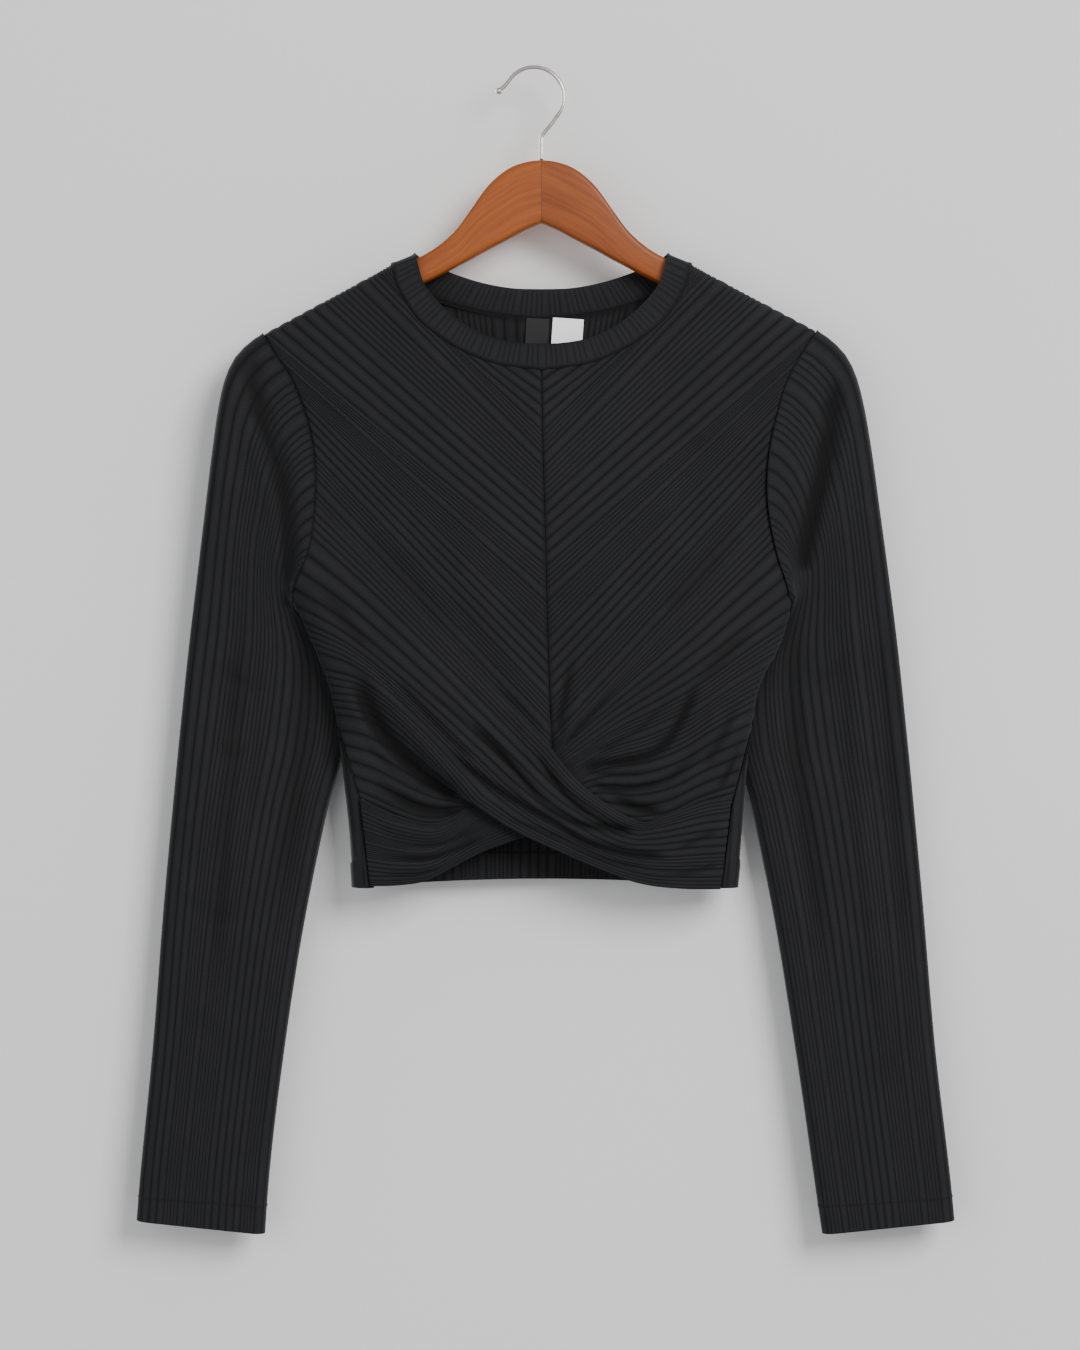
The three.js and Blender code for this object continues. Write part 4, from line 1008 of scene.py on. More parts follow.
        def plain(spots: np.ndarray, f: np.ndarray, t: np.ndarray) -> np.ndarray:
            """Stands out near the twist only."""
            return self.upper_offset(spots)

        top, low = neck.points[0], neck.points[-1]
        main = {"top": first_rib, "bottom": segment(to_twist, self.end)}
        main["left"], main["right"] = outline.between(shoulder, to_twist), centre.between(split, self.end)
        self.stretch(main, (self.neck_u, self.main_u), self.along, plain)
        below = {"top": still(low), "bottom": segment(tangent, split)}
        below["left"], below["right"] = neck.between(low, tangent), centre.between(low, split)
        self.stretch(below, (0.0, self.neck_u), self.after, plain)
        corner = {"top": still(top), "bottom": segment(shoulder, tangent)}
        corner["left"], corner["right"] = outline.between(top, shoulder), neck.between(top, tangent)
        self.stretch(corner, (0.0, self.neck_u), self.before, plain)


class FrontOver(FrontPanel):
    """The left front, which crosses over and runs on as the sash."""

    RIDGE_FROM = 0.15
    SASH_STEPS = 56
    SASH_END = 3.0
    SASH_ROLL = 1.8
    FAN_SINK = (-1.5, -3.0)

    def build(self) -> bpy.types.Object:
        """Makes the piece."""
        self.add_upper()
        outline, end, high_line = self.outline, self.end, OVER_OFFSET
        rib_ends = (RIB_TO_TWIST[self.hand], RIB_TO_RIDGE, FAN_LOW[0])
        to_twist, to_ridge, fan_end = (outline.snap(point) for point in rib_ends)
        ridge = Route.bent([to_ridge, *SASH_RIDGE])

        def lift(t: np.ndarray) -> np.ndarray:
            """Gives how far the ridge stands out along it."""
            return high_line * smooth((t - self.RIDGE_FROM) / (1.0 - self.RIDGE_FROM))

        def root_offset(spots: np.ndarray, f: np.ndarray, t: np.ndarray) -> np.ndarray:
            """Rises from the upper part to the ridge."""
            return np.maximum(self.upper_offset(spots), lift(t) * smooth(2 * f))

        def sash_offset(spots: np.ndarray, f: np.ndarray, t: np.ndarray) -> np.ndarray:
            """Rolls the sash out over what is under it."""
            at_root = np.maximum(self.upper_offset(spots), high_line * smooth(2 * f))
            roll = self.SASH_ROLL * np.sin(np.pi * f) * (1 - 0.6 * t)
            far = high_line + (self.SASH_END - high_line) * t + roll
            return at_root + (far - at_root) * smooth(t / 0.3)

        def fan_offset(spots: np.ndarray, f: np.ndarray, t: np.ndarray) -> np.ndarray:
            """Falls from the ridge to where the cloth is tucked in."""
            low = self.FAN_SINK[0] + self.FAN_SINK[1] * smooth(4 * t)
            return lift(t) + (low - lift(t)) * smooth(f / 0.3)

        root = {"top": segment(to_twist, end), "bottom": ridge.at}
        root["left"], root["right"] = outline.between(to_twist, to_ridge), segment(end, SASH_KNEE)
        self.stretch(root, (self.main_u, self.root_u), self.along, root_offset)
        high, low = Route.bent([end, *SASH_HIGH]), Route.bent(SASH_LOW)
        sash = {"top": high.at, "bottom": low.at, "left": segment(end, SASH_KNEE)}
        sash["right"] = segment(high.points[-1], low.points[-1])
        self.stretch(sash, (self.main_u, self.root_u), np.linspace(0.0, 1.0, self.SASH_STEPS), sash_offset)
        fan_low = Route.bent([fan_end, *FAN_LOW[1:]])
        fan = {"top": ridge.at, "bottom": fan_low.at, "left": outline.between(to_ridge, fan_end)}
        fan["right"] = still(SASH_KNEE)
        self.stretch(fan, (self.root_u, self.fan_u), self.along, fan_offset)
        self.add_flap(fan_low, fan_offset)
        return self.wall.build()


class FrontUnder(FrontPanel):
    """The right front, which runs under the sash and comes out as the tail."""

    TUCKED_SINK = 1.5
    TAIL_STEPS = 44
    TAIL_OUT = 2.4
    TAIL_OUT_FROM, TAIL_OUT_OVER = 0.42, 0.25

    def build(self) -> bpy.types.Object:
        """Makes the piece."""
        self.add_upper()
        outline, end, deep = self.outline, self.end, UNDER_OFFSET
        to_twist, to_tucked = (outline.snap(point) for point in (RIB_TO_TWIST[self.hand], TUCKED_LOW[0]))
        tucked = Route.bent([to_tucked, *TUCKED_LOW[1:]])

        def root_offset(spots: np.ndarray, f: np.ndarray, t: np.ndarray) -> np.ndarray:
            """Sinks towards the twist and the tucked edge."""
            sunk = self.TUCKED_SINK * f**3
            far = -sunk + (deep + sunk) * smooth(t)
            upper = self.upper_offset(spots)
            return upper + (far - upper) * smooth(f / 0.25)

        def tail_offset(spots: np.ndarray, f: np.ndarray, t: np.ndarray) -> np.ndarray:
            """Comes out from under the sash."""
            far = deep + (self.TAIL_OUT - deep) * smooth((t - self.TAIL_OUT_FROM) / self.TAIL_OUT_OVER)
            at_root = self.upper_offset(spots)
            at_root = at_root + (deep - at_root) * smooth(f / 0.25)
            return at_root + (far - at_root) * smooth(t / 0.2)

        root = {"top": segment(to_twist, end), "bottom": tucked.at}
        root["left"], root["right"] = outline.between(to_twist, to_tucked), segment(end, tucked.points[-1])
        self.stretch(root, (self.main_u, self.fan_u), self.along, root_offset)
        self.add_flap(tucked, root_offset)
        high, low = Route.bent([end, *TAIL_HIGH]), Route.bent(TAIL_LOW)
        tail = {"top": high.at, "bottom": low.at, "left": segment(end, tucked.points[-1])}
        tail["right"] = segment(high.points[-1], low.points[-1])
        self.stretch(tail, (self.main_u, self.fan_u), np.linspace(0.0, 1.0, self.TAIL_STEPS), tail_offset)
        return self.wall.build()


@dataclass
class BackPanel:
    """The back, whose sides come a little round to the front down to the hem."""

    ribs: Ribs
    rows: int = 104
    hem_share: float = 0.047
    edge_fade: float = 3.0
    # Painted shadow under the back neckband: how dark at most, and how far down it reaches
    neck_shade: Pair = (0.9, 8.0)
    wall: Wall = field(default_factory=lambda: Wall("back", False))

    HEM_STEPS = (-0.004, -0.002, 0.0, 0.002, 0.004)
    TOP_SHARES = (0.972, 0.982, 0.991, 0.996)
    EDGE_SHARES = (0.004, 0.009, 0.016, 0.026, 0.974, 0.984, 0.991, 0.996)
    STRIP_SHARES = (0.0, 0.06, 0.14, 0.24, 0.36, 0.5, 0.64, 0.78, 0.88, 0.95, 1.0)
    # Seam allowance of each side strip: how far it runs under the front, and how much deeper it lies there
    ALLOWANCE = ((0.3, 1.6), (0.7, 3.2), (2.6, 3.4))

    @staticmethod
    def top_edge(t: np.ndarray) -> np.ndarray:
        """Gives the shoulders and the back neck at shares of the width."""
        left, right = SHOULDER[Hand.LEFT][1], SHOULDER[Hand.RIGHT][1]
        whole = np.vstack([left, both_halves(NECK_BACK_ROUTE.points), right])
        x = left[0] + (right[0] - left[0]) * np.asarray(t, dtype=float)
        return np.stack([x, np.interp(x, whole[:, 0], whole[:, 1])], axis=-1)

    @staticmethod
    def hem_edge(t: np.ndarray) -> np.ndarray:
        """Gives the hem at shares of the width."""
        left, right = (side_point(hand, np.array(0.0)) for hand in Hand)
        t = np.asarray(t, dtype=float)
        edge = left + (right - left) * t[..., None]
        edge[..., 1] -= BACK_HEM_SAG * np.sin(np.pi * t)
        return edge

    def build(self) -> bpy.types.Object:
        """Makes the piece."""
        even = np.linspace(0.0, 1.0, self.rows)
        knots = [0.01, WRAP_BEND, WRAP_TOP, UNDERARM_SHARE, *self.TOP_SHARES]
        knots += [self.hem_share + step for step in self.HEM_STEPS]
        f = np.unique(np.concatenate([even, knots]))
        width = float(self.hem_edge(np.array(1.0))[0] - self.hem_edge(np.array(0.0))[0])
        u = self.ribs.samples(0.0, width)
        u = np.unique(np.concatenate([u, np.array(self.EDGE_SHARES) * width]))
        t = u / width
        left, right = (lambda share, hand=hand: side_point(hand, share) for hand in Hand)
        flat = patch(self.hem_edge, self.top_edge, left, right, f, t)
        loose = smooth(freedom(flat)) * smooth(f / 0.1)[:, None]
        bend = loose * fold_depth(BACK_FOLDS, flat, LONG_FADE)
        depth = body_depth(flat, Face.BACK) + loose * drape(flat) + bend
        profile, groove = self.ribs.profile(u)
        hem, stitched = hem_rise((self.hem_share - f)[:, None] * CLOTH.body_length)
        tuck = tuck_share(nearest([*ARMHOLE.values(), *SHOULDER_LINE.values()], flat))
        rise = profile[None, :] * (1.0 - CLOTH.tuck_calm * tuck) + hem - CLOTH.tuck_depth * tuck
        # Painted shade in grooves, seams, the hem's stitch line and fold hollows, and a painted shadow below the
        # neckband
        shade = np.maximum(np.broadcast_to(groove[None, :], rise.shape), np.maximum(tuck, stitched))
        darkest, reach = self.neck_shade
        to_neck = Route(both_halves(NECK_BACK_ROUTE.points)).distance(flat)
        shade = shaded(shade, np.maximum(hollow_shade(-bend), darkest * smooth(1.0 - to_neck / reach)))
        spots = np.stack([flat[..., 0], depth, flat[..., 1]], axis=-1)
        along = np.broadcast_to((f * CLOTH.body_length)[:, None], rise.shape)
        knit = np.stack([np.broadcast_to(u[None, :], rise.shape), along], axis=-1)
        self.wall.add(Stretch(spots, rise, knit, shade))
        wrapped = f <= WRAP_TOP + 1e-9
        self.add_strip(spots[wrapped][::-1, 0], Hand.LEFT, -CLOTH.seam_gap)
        self.add_strip(spots[wrapped][:, -1], Hand.RIGHT, CLOTH.seam_gap)
        return self.wall.build()

    def add_strip(self, edge: np.ndarray, hand: Hand, gap: float) -> None:
        """Adds the cloth between a side fold and its seam to the front.

        Args:
            edge: points down or up the side.
            hand: which side.
            gap: what is left open beside the seam.
        """
        seam = front_seam(hand)
        z = edge[:, 2]
        shares = np.array(self.STRIP_SHARES)
        end = np.where(z > seam.points[0, 1] - 0.01, edge[:, 0], at_height(seam, z)[:, 0] + gap)
        wide = end[:, None] - edge[:, :1]
        past, drop = np.array(self.ALLOWANCE).T
        room = smooth(np.abs(wide) / self.edge_fade)
        x = np.hstack([edge[:, :1] + wide * shares, end[:, None] + np.sign(wide) * room * past])
        flat = np.stack([x, np.broadcast_to(z[:, None], x.shape)], axis=-1)
        depth = body_depth(flat, Face.FRONT)
        depth[:, 0] = 0.0
        depth[:, len(shares):] -= room * drop
        hem, stitched = hem_rise(self.hem_share * CLOTH.body_length - (z - z.min())[:, None])
        to_end = np.abs(x - end[:, None])
        to_end[:, len(shares):] = 0.0
        tuck = tuck_share(to_end)
        reach = np.abs(x - edge[:, :1])
        profile, groove = self.ribs.profile(reach)
        fade = smooth(reach / self.edge_fade)
        rise = profile * fade * (1.0 - CLOTH.tuck_calm * tuck) + hem - CLOTH.tuck_depth * tuck
        # Painted shade in the grooves, at the seam to the front and along the hem's stitch line
        groove = np.maximum(np.maximum(groove * fade, tuck), stitched)
        spots = np.stack([x, -depth, flat[..., 1]], axis=-1)
        knit = np.stack([reach, flat[..., 1]], axis=-1)
        self.wall.add(Stretch(spots, rise, knit, groove))


def hem_rise(below: np.ndarray) -> Tuple[np.ndarray, np.ndarray]:
    """Thickens a turned-up hem under its stitch line.

    Args:
        below: distance under the stitch line, negative above it.

    Returns:
        How far the cloth stands out, and the painted shade of the stitch line's groove.
    """
    line = np.exp(-((below / 0.9) ** 2))
    return CLOTH.hem_extra * smooth(below / 2.0 + 0.2) - 0.55 * line, line


BACK_FOLDS = (
    Fold([(-150.0, -250.0), (-118.0, -300.0), (-104.0, -372.0), (-108.0, -440.0)], 16.0, 1.3),
    Fold([(140.0, -240.0), (124.0, -310.0), (96.0, -392.0), (98.0, -470.0)], 18.0, 1.2),
    Fold([(-60.0, -300.0), (-44.0, -380.0), (-56.0, -480.0)], 20.0, -0.9),
    Fold([(30.0, -260.0), (42.0, -350.0), (30.0, -450.0), (38.0, -520.0)], 15.0, 0.8),
    Fold([(-168.0, -352.0), (-140.0, -372.0), (-96.0, -384.0)], 11.0, -1.1),
    Fold([(166.0, -356.0), (132.0, -382.0), (84.0, -398.0)], 12.0, -1.0),
    Fold([(-130.0, -452.0), (-84.0, -470.0), (-24.0, -474.0)], 13.0, 0.9),
    Fold([(134.0, -462.0), (86.0, -486.0), (44.0, -484.0)], 12.0, 0.8),
)


def glide(where: np.ndarray, values: np.ndarray, want: np.ndarray) -> np.ndarray:
    """Reads a table smoothly between its rows, without a kink at any of them.

    Args:
        where: rising places of the rows.
        values: rows × columns.
        want: places to read.

    Returns:
        Values at those places, one row each.
    """
    values = np.asarray(values, dtype=float)
    slope = np.gradient(values, where, axis=0)
    i = np.clip(np.searchsorted(where, want) - 1, 0, len(where) - 2)
    step = (where[i + 1] - where[i])[:, None]
    f = (want - where[i])[:, None] / step
    return hermite(f, values[i], step * slope[i], values[i + 1], step * slope[i + 1])


@dataclass
class Sleeve:
    """A sleeve: a flat tube of rings from the armhole's own curve down to the cuff."""

    hand: Hand
    ribs: Ribs
    gap: float = -0.15
    ring_step: float = 4.6
    drift: float = 0.46
    drift_grows: float = 46.0
    drift_dies: Pair = (52.0, 150.0)
    loose_edge: float = 16.0
    loose_from: float = 6.0
    loose_cap: float = 20.0
    loose_cuff: float = 30.0
    back_shift: float = 13.0
    # How much of a fold's sink, and of the cuff's stitch line, becomes painted shade
    bend_shade: float = 0.6
    cuff_stitch_shade: float = 0.5

    TOP_ROWS = (0.6, 1.3, 2.2, 3.4)
    HEM_ROWS = (-2.2, -1.2, -0.5, 0.0, 0.5, 1.2, 2.2)
    EDGE_COLUMNS = (0.45, 1.0, 1.9, 3.2)

    def rings(self) -> Tuple[np.ndarray, np.ndarray]:
        """Works out the rings of this side's sleeve.

        Returns:
            Each ring's outer and inner X and Z, depths and cap share, and its place along the sleeve.
        """
        table = []
        for ring in SLEEVE_RINGS:
            outer, inner = ring.outer, ring.inner
            if self.hand is Hand.RIGHT:
                share = (inner[1] - RIGHT_DROP_FROM) / RIGHT_DROP_FADE
                drop = RIGHT_UNDERARM_DROP * min(1.0, max(0.0, share))
                outward, inward = np.array(RIGHT_OUTWARD), np.array(RIGHT_INWARD)
                outer = (-outer[0] + np.interp(outer[1], *outward.T), outer[1])
                inner = (-inner[0] + np.interp(inner[1], *inward.T), inner[1] - drop)
            table.append([*outer, *inner, ring.mid_outer, ring.mid_inner, ring.half, ring.cap])
        table = np.array(table)
        steps = sum(np.hypot(*np.diff(table[:, i:i + 2], axis=0).T) for i in (0, 2))
        place = np.concatenate([[0.0], np.cumsum(steps / 2)])
        return table, place

    def build(self) -> bpy.types.Object:
        """Makes the piece."""
        left = self.hand is Hand.LEFT
        wall = Wall(f"sleeve_{self.hand.value}", False, left)
        table, place = self.rings()
        hem = place[HEM_RING]
        length = place[-1]
        even = np.linspace(0.0, length, int(length / self.ring_step))
        at_hem = hem + np.array(self.HEM_ROWS)
        want = np.unique(np.concatenate([even, self.TOP_ROWS, at_hem, [length - 0.8]]))
        ring = glide(place, table, want)
        outer, inner = ring[:, None, 0:2], ring[:, None, 2:4]
        mid_outer, mid_inner, half, cap = (ring[:, i, None] for i in range(4, 8))
        cap = np.where(want[:, None] > place[CAP_RING], 0.0, np.clip(cap, 0.0, 1.0))

        u = self.ribs.samples(0.0, SLEEVE_FLAT)
        edge = np.array(self.EDGE_COLUMNS)
        u = np.unique(np.concatenate([u, edge, SLEEVE_FLAT - edge]))
        t_front = u / SLEEVE_FLAT
        t = np.concatenate([t_front, t_front[1:-1][::-1]])
        front = np.concatenate([np.ones(len(t_front), bool), np.zeros(len(t_front) - 2, bool)])
        outward = (-1.0 if left else 1.0) * self.gap
        on_armhole = ARMHOLE[self.hand].at(t) + (outward, 0.0)
        chord = table[0, 0:2] + (table[0, 2:4] - table[0, 0:2]) * t[:, None]
        hold, die = self.drift_dies
        drift = self.drift * smooth(want / self.drift_grows) * (1.0 - smooth((want - hold) / die))
        laid = t + drift[:, None] * t * (1.0 - t)
        spot = outer + (inner - outer) * laid[..., None] + (on_armhole - chord) * cap[..., None]
        to_edge = np.minimum(laid, 1 - laid) * np.linalg.norm(outer - inner, axis=-1)
        own = half * rolled(to_edge, half)
        at_body = np.where(front, body_depth(on_armhole, Face.FRONT), body_depth(on_armhole, Face.BACK))
        depth = own + (at_body - own) * cap
        middle = mid_outer + (mid_inner - mid_outer) * laid
        valley = Route.bent(SLEEVE_VALLEY[self.hand]).distance(spot) / VALLEY_WIDTH
        dip = np.where(valley < 1, VALLEY_DEPTH * (1 - valley**2) ** 2, 0.0) * (1 - cap**4)
        loose = smooth(to_edge / self.loose_edge) * smooth((want[:, None] - self.loose_from) / self.loose_cap)
        loose = loose * smooth((hem - want[:, None]) / self.loose_cuff)
        shift = np.where(front, 0.0, self.back_shift)
        waves = loose * drape(spot + np.stack([shift, shift], axis=-1))
        bends = loose * fold_depth(SLEEVE_FOLDS[self.hand], spot, LONG_FADE)
        out = depth + waves + bends
        y = np.where(front, middle - out + dip, middle + out)
        spots = np.stack([spot[..., 0], y, spot[..., 1]], axis=-1)

        profile, groove = self.ribs.profile(t * SLEEVE_FLAT)
        profile = profile * smooth(np.minimum(t, 1 - t) * SLEEVE_FLAT / 2.0)
        turned, stitched = hem_rise(want[:, None] - hem)
        tuck = tuck_share(want[:, None])
        rise = profile * (1 - CLOTH.tuck_calm * tuck) + turned - CLOTH.tuck_depth * tuck
        # Painted shade at the armhole seam, on the cuff's stitch line, in the grooves and in valley and fold
        # hollows
        seam_shade = np.maximum(0.8 * tuck, self.cuff_stitch_shade * stitched)
        shade = np.maximum(np.broadcast_to(groove, rise.shape), seam_shade)
        shade = shaded(shade, hollow_shade(np.where(front, dip, 0.0) - self.bend_shade * bends))
        along = np.broadcast_to(want[:, None], rise.shape)
        around = np.where(front, t * SLEEVE_FLAT, 2 * SLEEVE_FLAT - t * SLEEVE_FLAT)
        knit = np.stack([np.broadcast_to(around, rise.shape), along], axis=-1)
        wall.add(Stretch(spots, rise, knit, shade, closed=True))
        return wall.build()


@dataclass
class Neckband:
    """The ribbed strip that stands on the neck's seam all round."""

    ribs: Ribs
    lean: float = 0.95
    gap: float = -0.5
    height: float = 12.0
    allowance_depth: float = 1.6
    top_reach: float = 3.2
    top_depth: float = 1.1
    rib_share: float = 0.6

    LEVELS = (0.0, 0.03, 0.07, 0.13, 0.2, 0.3, 0.55, 0.8, 0.92, 0.97, 1.0, 1.03, 1.12)

    def build(self) -> bpy.types.Object:
        """Makes the piece."""
        wall = Wall("neckband", False, True)
        whole = {
            Face.FRONT: (NECK_FRONT_ROUTE.points, Route.bent(BAND_TOP_FRONT).points),
            Face.BACK: (NECK_BACK_ROUTE.points, Route.bent(BAND_TOP_BACK).points),
        }
        feet, heads, distance, start = [], [], [], 0.0
        for face, (low_half, top_half) in whole.items():
            low, top = Route(both_halves(low_half)), Route(both_halves(top_half))
            u = self.ribs.samples(start, start + low.length)[:-1]
            share = (u - start) / low.length
            share = share if face is Face.FRONT else 1.0 - share
            foot, head = low.at(share), top.at(share)
            depth = body_depth(foot, face) * (-1.0 if face is Face.FRONT else 1.0)
            up = head - foot
            foot = foot + up * self.gap / np.linalg.norm(up, axis=-1, keepdims=True)
            feet.append(np.stack([foot[:, 0], depth, foot[:, 1]], axis=-1))
            heads.append(np.stack([head[:, 0], depth * self.lean, head[:, 1]], axis=-1))
            distance.append(u)
            start += low.length
        foot, head, u = np.vstack(feet), np.vstack(heads), np.concatenate(distance)
        level = np.array(self.LEVELS)
        spots = head[None] + (foot - head)[None] * level[:, None, None]
        inside = self.allowance_depth * smooth((level - 1.0) / 0.03)[:, None]
        spots[..., 1] -= np.sign(spots[..., 1]) * np.minimum(inside, np.abs(spots[..., 1]))
        profile, groove = self.ribs.profile(u)
        to_top, to_foot = level * self.height, (1.0 - level) * self.height
        rounded = np.clip(1.0 - to_top / self.top_reach, 0.0, 1.0) ** 2
        tuck = tuck_share(to_foot)
        calm = (1.0 - 0.6 * rounded) * (1.0 - 0.8 * tuck)
        sunk = self.top_depth * rounded[:, None] + 0.5 * tuck[:, None]
        rise = self.rib_share * profile[None] * calm[:, None] - sunk
        # Painted shade in the grooves and at the foot, where the band is sewn on
        shade = np.maximum(0.75 * groove[None] * calm[:, None], 0.9 * tuck[:, None])
        along = np.broadcast_to(to_foot[:, None], rise.shape)
        knit = np.stack([np.broadcast_to(u[None], rise.shape), along], axis=-1)
        wall.add(Stretch(spots, rise, knit, shade, closed=True))
        return wall.build()


# Labels, wooden bar and hook


@dataclass(frozen=True)
class Label:
    """A woven label sewn in at the back neck: where its top middle is, its size and its lean in degrees."""

    name: str
    x: float
    width: float
    length: float
    lean: float
    curl: float


LABELS = (
    Label("label_black", -2.4, 15.5, 43.0, 3.0, 0.35),
    Label("label_white", 18.4, 21.0, 46.0, 4.0, 0.5),
)
LABEL_THICK = 0.45
LABEL_DEPTH = 7.3
LABEL_TOP = -168.2


@dataclass
class LabelSheet:
    """A thin label with a soft curl."""

    label: Label
    columns: int = 17
    rows: int = 37

    def build(self) -> bpy.types.Object:
        """Makes the piece."""
        s = np.linspace(-0.5, 0.5, self.columns)[None, :]
        d = np.linspace(0.0, 1.0, self.rows)[:, None]
        lean = math.radians(self.label.lean)
        x, z = np.broadcast_arrays(s * self.label.width, -d * self.label.length)
        curl = self.label.curl * (4 * s**2 - 0.4) * smooth(d * 1.5)
        wave = 0.2 * np.sin(7.0 * d + 2.0 * s)
        spots = np.stack(
            [
                self.label.x + x * math.cos(lean) + z * math.sin(lean),
                LABEL_DEPTH - curl - wave,
                LABEL_TOP - x * math.sin(lean) + z * math.cos(lean),
            ],
            axis=-1,
        )
        edge = np.minimum((0.5 - np.abs(s)) * self.label.width, np.minimum(d, 1 - d) * self.label.length)
        half = np.array([0.0, LABEL_THICK / 2, 0.0])
        verts = np.vstack([(spots - half).reshape(-1, 3), (spots + half).reshape(-1, 3)])
        numbers = np.arange(self.rows * self.columns).reshape(self.rows, self.columns)
        front = squares(numbers)
        count = self.rows * self.columns
        border = np.concatenate([numbers[0, :], numbers[1:, -1], numbers[-1, -2::-1], numbers[-2:0:-1, 0]])
        after = np.roll(border, -1)
        rim = np.stack([border, after, after + count, border + count], axis=1)
        faces = np.vstack([front, front[:, ::-1] + count, rim])
        plain = np.stack([x, z], axis=-1).reshape(-1, 2)
        flat = np.vstack([plain, plain])[faces]
        # The stitch line 0.9 mm in from the edge, which the finish dents and darkens with painted shade
        groove = np.tile(np.exp(-((edge - 0.9) ** 2) / 0.12).ravel(), 2)
        pairs = np.stack([border, after], axis=1)
        return make_mesh(self.label.name, verts, faces, flat, groove, np.vstack([pairs, pairs + count]))


# Wooden bar by x: top and bottom height, half thickness
BAR = np.array(
    [
        (0.0, -61.5, -104.2, 6.0), (9.2, -62.6, -108.1, 6.0), (22.8, -67.6, -115.3, 6.0),
        (36.4, -79.0, -122.4, 6.0), (50.0, -97.6, -129.9, 6.0), (58.0, -108.5, -134.0, 6.0),
        (66.0, -116.4, -138.4, 6.0), (79.2, -125.6, -145.2, 6.0), (90.0, -130.6, -150.4, 6.0),
        (99.6, -135.2, -154.2, 6.0), (125.0, -148.3, -166.0, 6.0), (155.0, -164.6, -180.2, 6.0),
        (175.0, -175.7, -189.4, 6.0), (180.0, -179.0, -190.6, 4.8), (182.5, -182.4, -189.4, 2.6),
    ]
)


@dataclass
class Rod:
    """A solid swept through rings of points."""

    name: str

    def build(self, rings: np.ndarray, knit: np.ndarray) -> bpy.types.Object:
        """Makes the piece from rings, each with the same number of points, closed at both ends.

        Args:
            rings: rings × points × 3.
            knit: rings × points × 2, the surface's own distances.

        Returns:
            The object.
        """
        count, sides, _ = rings.shape
        numbers = np.arange(count * sides).reshape(count, sides)
        around = np.hstack([numbers, numbers[:, :1]])
        quads = squares(around)[:, [0, 3, 2, 1]]
        verts = np.vstack([rings.reshape(-1, 3), rings[0].mean(axis=0), rings[-1].mean(axis=0)])
        first, last = count * sides, count * sides + 1
        after = np.roll(numbers, -1, axis=1)
        start = np.stack([np.full(sides, first), after[0], numbers[0], numbers[0]], axis=1)
        end = np.stack([np.full(sides, last), numbers[-1], after[-1], after[-1]], axis=1)
        faces = np.vstack([quads, start, end])
        flat = np.vstack([knit.reshape(-1, 2), knit[0].mean(axis=0), knit[-1].mean(axis=0)])
        no_sharp = np.zeros((0, 2), dtype=int)
        return make_mesh(self.name, verts, faces, flat[faces], np.zeros(len(verts)), no_sharp)


class HangerBar(Rod):
    """The bent wooden bar with rounded edges."""

    ARC_STEPS = 9
    STEP = 2.2
    END_PLACES = (0.4, 1.0, 181.2, 182.0, 182.5)
    LAST_STEP_BEFORE = 182.0
    FLATNESS = 0.62
    EDGE_ROUND = 0.8

    def make(self) -> bpy.types.Object:
        """Makes the piece."""
        even = np.arange(0.0, self.LAST_STEP_BEFORE, self.STEP)
        places = np.unique(np.concatenate([even, self.END_PLACES]))
        half_bar = glide(BAR[:, 0], BAR[:, 1:], places)
        x = np.concatenate([-places[:0:-1], places])
        table = np.vstack([half_bar[:0:-1], half_bar])
        top, low, half = table.T
        round_off = np.minimum(half, (top - low) / 2)[:, None]
        angle = np.linspace(0.0, np.pi, self.ARC_STEPS)[None]
        bulge = half[:, None] * np.sign(np.cos(angle)) * np.abs(np.cos(angle)) ** self.FLATNESS
        inset = round_off * self.EDGE_ROUND * (1 - np.sin(angle) ** self.FLATNESS)
        y, z = np.hstack([bulge, -bulge]), np.hstack([top[:, None] - inset, low[:, None] + inset])
        wide = np.broadcast_to(x[:, None], y.shape)
        along = np.concatenate([[0.0], np.cumsum(np.hypot(np.diff(x), np.diff((top + low) / 2)))])
        along = np.broadcast_to(along[:, None], y.shape)
        rings = np.stack([wide, y, z], axis=-1)
        height = z - ((top + low) / 2)[:, None]
        return self.build(rings, np.stack([along, height], axis=-1))


